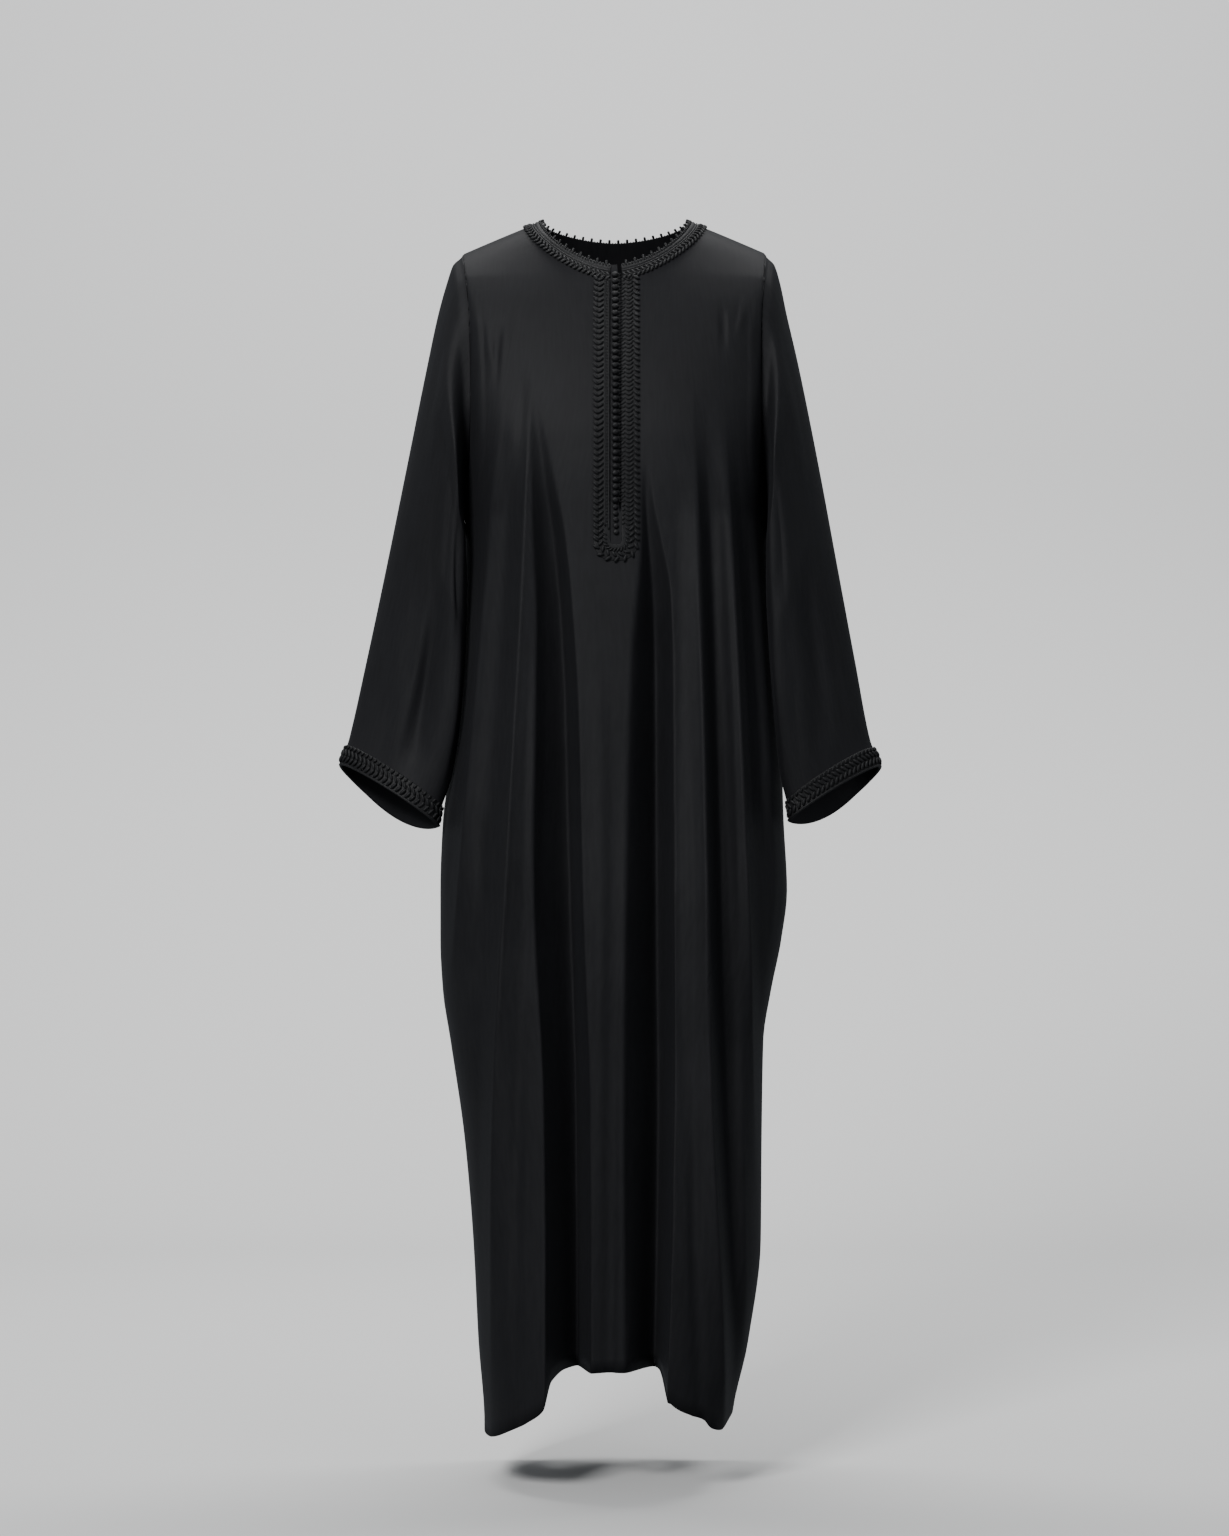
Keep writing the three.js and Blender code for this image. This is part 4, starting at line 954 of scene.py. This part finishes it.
def make_placket_braid(ribbon):
    profile = [
        (1.6, 0.2), (2.4, 0.5), (7, 0.5), (12.5, 0.5), (14, 0.7), (19.4, 0.7), (20.4, 0.5),
    ]
    parts = [ribbon.base(profile, 360)]
    leg = PLACKET_TOP - PLACKET_TURN
    foot = ribbon.length - leg
    # an outer rope all the way round, and a second row that makes a herringbone with it
    parts.append(ribbon.stitches(6.9, 3.3, 50, 8.6, 3.9, 3.6, lift=0.6))
    parts.append(ribbon.stitches(6.9, 9.2, -48, 8.0, 3.4, 3.0, lift=0.6, end=foot))
    parts.append(ribbon.stitches(5.2, 9.4, -50, 6.4, 2.5, 2.2, lift=0.65, start=foot))
    parts.append(ribbon.stitches(5.2, 14.2, 50, 6.4, 2.4, 2.2, lift=0.65, start=leg + 6))
    # two smooth cords beside the buttons, and a last fine row beside the slit
    parts.append(ribbon.cord(14.4, 1.15, end=leg, lift=0.8))
    parts.append(ribbon.cord(18.6, 1.15, end=leg + 4, lift=0.8))
    parts.append(ribbon.stitches(3.9, 16.5, 62, 3.4, 1.6, 1.4, lift=0.75, end=leg))
    parts.append(ribbon.stitches(5.2, 18.4, -50, 4.6, 2.0, 1.8, lift=0.7, start=foot))
    return joined("placket_braid_thread", parts)


# ------------------------------------------------------------------ cuff braid
def cuff_ribbon(name):
    sleeve = SLEEVES[name]
    angle = np.linspace(0, 360, 240, endpoint=False)
    steps = np.linspace(1.0, 0.9, 41)
    trail = np.array([sleeve_surface(sleeve, angle, along) for along in steps])
    walked = lengths_along(trail)
    depths = np.arange(0, CUFF_BRAID_WIDTH + 1.6, 1.5)
    return Ribbon(lines_at(depths, walked, trail), depths, sleeve["side"], closed=True)


def make_cuff_braid(name):
    ribbon = cuff_ribbon(name)
    profile = [
        (0.2, 0.4), (1.0, 1.2), (3, 1.2), (4, 0.5), (22, 0.5), (23, 0.6), (24.4, 0.2),
    ]
    parts = [ribbon.base(profile, 200)]
    slant = SLEEVES[name]["side"] * -1
    parts.append(ribbon.cord(1.6, 1.45, lift=0.8))
    parts.append(ribbon.stitches(6.6, 8.0, 56 * slant, 9.6, 3.9, 3.4, lift=0.55))
    parts.append(ribbon.stitches(6.6, 15.6, -52 * slant, 9.6, 3.8, 3.4, lift=0.55))
    parts.append(ribbon.stitches(6.6, 21.8, 60 * slant, 6.0, 3.2, 3.0, lift=0.5))
    return joined(f"cuff_braid_{name}_thread", parts)


# ------------------------------------------------------------------ buttons, knots and loops
def front_frame(x, z):
    """A place on the front, its normal, and the way across it to the right."""
    here = body_point("front", x, z)
    across = unit(body_point("front", x + 1, z) - body_point("front", x - 1, z))
    down = unit(body_point("front", x, z - 1) - body_point("front", x, z + 1))
    return here, unit(np.cross(across, -down)), across, down


def wound_ball(name, x, z, size, turns, depth):
    """A ball of wound thread with fine ridges spiralling round it, one pole to the cloth."""
    around, rings = 28, 20
    points, faces = ball_template(around, rings)
    here, normal, across, down = front_frame(x, z)
    azimuth = np.arctan2(points[:, 2], points[:, 1])
    height = np.arccos(np.clip(points[:, 0], -1, 1))
    ridge = 1 + depth * np.cos(turns * azimuth + 5 * height) * np.sin(height)
    points = points * ridge[:, None]
    centre = here + normal * (ON_CLOTH + size[1] / 2)
    placed = (
        centre
        + normal * points[:, 0:1] * size[1] / 2
        + across * points[:, 1:2] * size[0] / 2
        + down * points[:, 2:3] * size[2] / 2
    )
    return new_mesh(name, placed, faces)


def make_loops():
    """Thread loops from the right edge of the slit, one round each button."""
    parts = []
    for i in range(BUTTON_COUNT):
        z = BUTTON_TOP - i * BUTTON_PITCH
        turn = np.linspace(-1.9, 1.9, 15)
        x = np.concatenate([[8.6], 0.3 + 4.9 * np.cos(turn), [8.6]])
        dz = np.concatenate([[-1.3], 3.1 * np.sin(turn), [1.3]])
        keep = x > 1.0
        x, dz = x[keep], dz[keep]
        centre, normal, _, _ = front_frame(0.0, z)
        path = body_point("front", x, z + dz) + normal * (ON_CLOTH + 1.3)
        parts.append(tube(path, np.broadcast_to(normal, path.shape), 0.55, sides=6))
    return joined("button_loops", parts)


# ------------------------------------------------------------------ materials
def set_inputs(made, **values):
    for key, value in values.items():
        made.inputs[key.replace("_", " ")].default_value = value


def node(tree, kind, **inputs):
    made = tree.nodes.new(kind)
    set_inputs(made, **inputs)
    return made


def new_material(name, **surface):
    material = bpy.data.materials.new(name)
    material.use_nodes = True
    shader = material.node_tree.nodes["Principled BSDF"]
    set_inputs(shader, **surface)
    return material, material.node_tree, shader


def coloured(tree, shader, share, low, high, start=0.0, end=1.0):
    """Colours the shader from low to high, as the share goes from start to end."""
    ramp = tree.nodes.new("ShaderNodeValToRGB")
    for element, position, colour in zip(ramp.color_ramp.elements, (start, end), (low, high)):
        element.position = position
        element.color = (*colour, 1)
    tree.links.new(share, ramp.inputs["Fac"])
    tree.links.new(ramp.outputs["Color"], shader.inputs["Base Color"])


def bumped(tree, height, strength, distance):
    bump = node(tree, "ShaderNodeBump", Strength=strength, Distance=distance)
    tree.links.new(height, bump.inputs["Height"])
    return bump


def noise(tree, source, scale, detail):
    made = node(tree, "ShaderNodeTexNoise", Scale=scale, Detail=detail)
    tree.links.new(source, made.inputs["Vector"])
    return made.outputs["Fac"]


def wave(tree, source, scale, distortion, detail, bands):
    made = node(tree, "ShaderNodeTexWave", Scale=scale, Distortion=distortion, Detail=detail)
    made.bands_direction = bands
    tree.links.new(source, made.inputs["Vector"])
    return made.outputs["Fac"]


def added(tree, first, second):
    made = tree.nodes.new("ShaderNodeMath")
    made.operation = "ADD"
    tree.links.new(first, made.inputs[0])
    tree.links.new(second, made.inputs[1])
    return made.outputs["Value"]


def crepe_material():
    material, tree, shader = new_material(
        "black_crepe", Roughness=0.54, Specular_IOR_Level=0.12, Sheen_Weight=0.02,
        Sheen_Roughness=0.4, Sheen_Tint=(0.72, 0.76, 0.86, 1),
    )
    link = tree.links.new
    uv = tree.nodes.new("ShaderNodeUVMap")
    uv.uv_map = "cloth"
    weave_place = uv.outputs["UV"]
    cloth_place = tree.nodes.new("ShaderNodeTexCoord").outputs["Object"]
    # the crepe's colour varies a little, in streaks along the warp
    stretch = node(tree, "ShaderNodeMapping", Scale=(1.0, 0.12, 1.0))
    link(weave_place, stretch.inputs["Vector"])
    blend = tree.nodes.new("ShaderNodeMix")
    blend.data_type = "FLOAT"
    blend.inputs["Factor"].default_value = 0.5
    link(noise(tree, stretch.outputs["Vector"], 260.0, 3.0), blend.inputs["A"])
    link(noise(tree, cloth_place, 6.0, 2.0), blend.inputs["B"])
    dark, light = (0.0098, 0.0099, 0.0112), (0.0150, 0.0152, 0.0170)
    coloured(tree, shader, blend.outputs["Result"], dark, light, 0.3, 0.7)
    # its pebbled weave: fine crimped yarns both ways, broken by a grain
    warp = wave(tree, weave_place, 520.0, 5.0, 2.0, "X")
    weft = wave(tree, weave_place, 460.0, 5.0, 2.0, "Y")
    pebbles = added(tree, added(tree, warp, weft), noise(tree, weave_place, 1500.0, 2.0))
    bump = bumped(tree, pebbles, 0.22, 0.0002)
    # a faint unevenness of the cloth itself
    soft = bumped(tree, noise(tree, cloth_place, 34.0, 2.0), 0.25, 0.0012)
    link(soft.outputs["Normal"], bump.inputs["Normal"])
    link(bump.outputs["Normal"], shader.inputs["Normal"])
    return material


def thread_material(name, dark, light, roughness, twist):
    """Silky thread: a fine twist across it, and colour that varies from strand to strand."""
    material, tree, shader = new_material(
        name, Roughness=roughness, Specular_IOR_Level=0.22, Sheen_Weight=0.02,
        Sheen_Roughness=0.35, Sheen_Tint=(0.75, 0.78, 0.86, 1),
    )
    place = tree.nodes.new("ShaderNodeTexCoord").outputs["Object"]
    coloured(tree, shader, noise(tree, place, 420.0, 2.0), dark, light, 0.32, 0.7)
    bump = bumped(tree, wave(tree, place, twist, 2.0, 1.0, "DIAGONAL"), 0.35, 0.0002)
    tree.links.new(bump.outputs["Normal"], shader.inputs["Normal"])
    return material


def stage_material(name, low, high, roughness):
    """Backdrop paper with painted shade: its colour is made darker a little towards the top, where the
    light falls off.
    """
    material, tree, shader = new_material(name, Roughness=roughness, Specular_IOR_Level=0.2)
    link = tree.links.new
    place = tree.nodes.new("ShaderNodeTexCoord")
    height = tree.nodes.new("ShaderNodeSeparateXYZ")
    link(place.outputs["Object"], height.inputs["Vector"])
    # painted shade: the paper's colour goes from low to high with height, darker towards the top for the
    # light's falloff
    share = node(tree, "ShaderNodeMapRange", From_Min=-0.7, From_Max=1.1)
    link(height.outputs["Z"], share.inputs["Value"])
    coloured(tree, shader, share.outputs["Result"], low, high)
    return material


# ------------------------------------------------------------------ the studio
def make_camera():
    data = bpy.data.cameras.new("camera")
    data.sensor_fit = "VERTICAL"
    data.sensor_height = 24.0
    data.lens = 24.0 * CAMERA_DISTANCE / VIEW_HEIGHT
    data.clip_end = 60
    camera = bpy.data.objects.new("camera", data)
    camera.location = (-0.0006, -CAMERA_DISTANCE, CAMERA_HEIGHT)
    camera.rotation_euler = (math.pi / 2, 0, 0)
    bpy.context.scene.collection.objects.link(camera)
    bpy.context.scene.camera = camera


def make_light(name, place, target, size, power, colour=(1, 1, 1)):
    data = bpy.data.lights.new(name, "AREA")
    data.shape = "RECTANGLE"
    data.size, data.size_y = size
    data.energy = power
    data.color = colour
    light = bpy.data.objects.new(name, data)
    light.location = place
    aim = np.array(target) - np.array(place)
    flat = math.hypot(aim[0], aim[1])
    rise = math.pi / 2 + math.atan2(aim[2], flat)
    light.rotation_euler = (rise, 0, math.atan2(aim[1], aim[0]) - math.pi / 2)
    bpy.context.scene.collection.objects.link(light)


def make_stage():
    """A pale floor that curves up into a backdrop."""
    width, front, back, radius, height = 14000.0, -6500.0, 3600.0, 1500.0, 5200.0
    floor = FLOOR / MM
    turn = np.linspace(0, math.pi / 2, 24)
    profile = [(front, floor), (back - radius, floor)]
    for t in turn[1:]:
        profile.append((back - radius + radius * math.sin(t), floor + radius - radius * math.cos(t)))
    profile.append((back, floor + height))
    points = [(x, y, z) for y, z in profile for x in np.linspace(-width / 2, width / 2, 2)]
    faces = grid_faces(len(profile), 2)
    backdrop = new_mesh("studio_backdrop", points, faces)
    # the backdrop's colour carries painted shade, pale low down and darker towards its top
    paper = stage_material("backdrop_paper_painted_shade", (0.76, 0.76, 0.755), (0.6, 0.6, 0.6), 0.9)
    backdrop.data.materials.append(paper)
    backdrop.visible_diffuse = False
    backdrop.visible_glossy = False


def make_studio():
    make_camera()
    make_stage()
    world = bpy.data.worlds.new("studio")
    world.use_nodes = True
    set_inputs(world.node_tree.nodes["Background"], Color=(0.9, 0.95, 1.0, 1), Strength=0.2)
    bpy.context.scene.world = world
    make_light("key", (-1.55, -3.7, 1.75), (0, 0, -0.3), (1.2, 1.2), 185)
    make_light("fill", (2.4, -3.2, 0.4), (0, 0, -0.5), (1.6, 2.2), 16, (0.95, 0.97, 1.0))
    make_light("backdrop", (0.0, 0.9, 2.3), (0, 3.6, -0.9), (4.2, 1.0), 190)


# ------------------------------------------------------------------ putting it together
def dress():
    crepe = crepe_material()
    braid = thread_material("black_braid", (0.0090, 0.0092, 0.0100), (0.0150, 0.0152, 0.0165), 0.5, 900.0)
    silk_dark, silk_light = (0.0095, 0.0095, 0.0104), (0.0165, 0.0165, 0.0178)
    silk = thread_material("black_button_thread", silk_dark, silk_light, 0.42, 1300.0)

    front, back = make_front(), make_back()
    finish_piece(front, crepe, "crepe", "front_panel")
    finish_piece(back, crepe, "crepe", "back_panel")
    for name in SLEEVES:
        sleeve = make_sleeve(name)
        finish_piece(sleeve, crepe, "crepe", f"sleeve_{name}")
        cuff = make_cuff_braid(name)
        finish_piece(cuff, braid, "braid", f"cuff_braid_{name}")

    neck = neck_ribbon()
    finish_piece(make_neck_braid(neck), braid, "braid", "neck_braid")
    finish_piece(make_placket_braid(placket_ribbon(neck)), braid, "braid", "placket_braid")
    for i in range(BUTTON_COUNT):
        z = BUTTON_TOP - i * BUTTON_PITCH
        number = f"{i + 1:02d}"
        ball = wound_ball(f"thread_button_{number}", 0.0, z, BUTTON_SIZE, 9, 0.035)
        finish_piece(ball, silk, "braid", f"button_{number}")
    for i in range(KNOT_COUNT):
        z = BUTTON_TOP - BUTTON_COUNT * BUTTON_PITCH - i * KNOT_PITCH
        knot = wound_ball(f"wound_knot_{i + 1}", mix(0.0, 1.2, i / KNOT_COUNT), z, KNOT_SIZE, 6, 0.06)
        finish_piece(knot, silk, "braid", f"thread_knot_{i + 1}")
    finish_piece(make_loops(), silk, "braid")


make_studio()
dress()
bpy.context.view_layer.update()
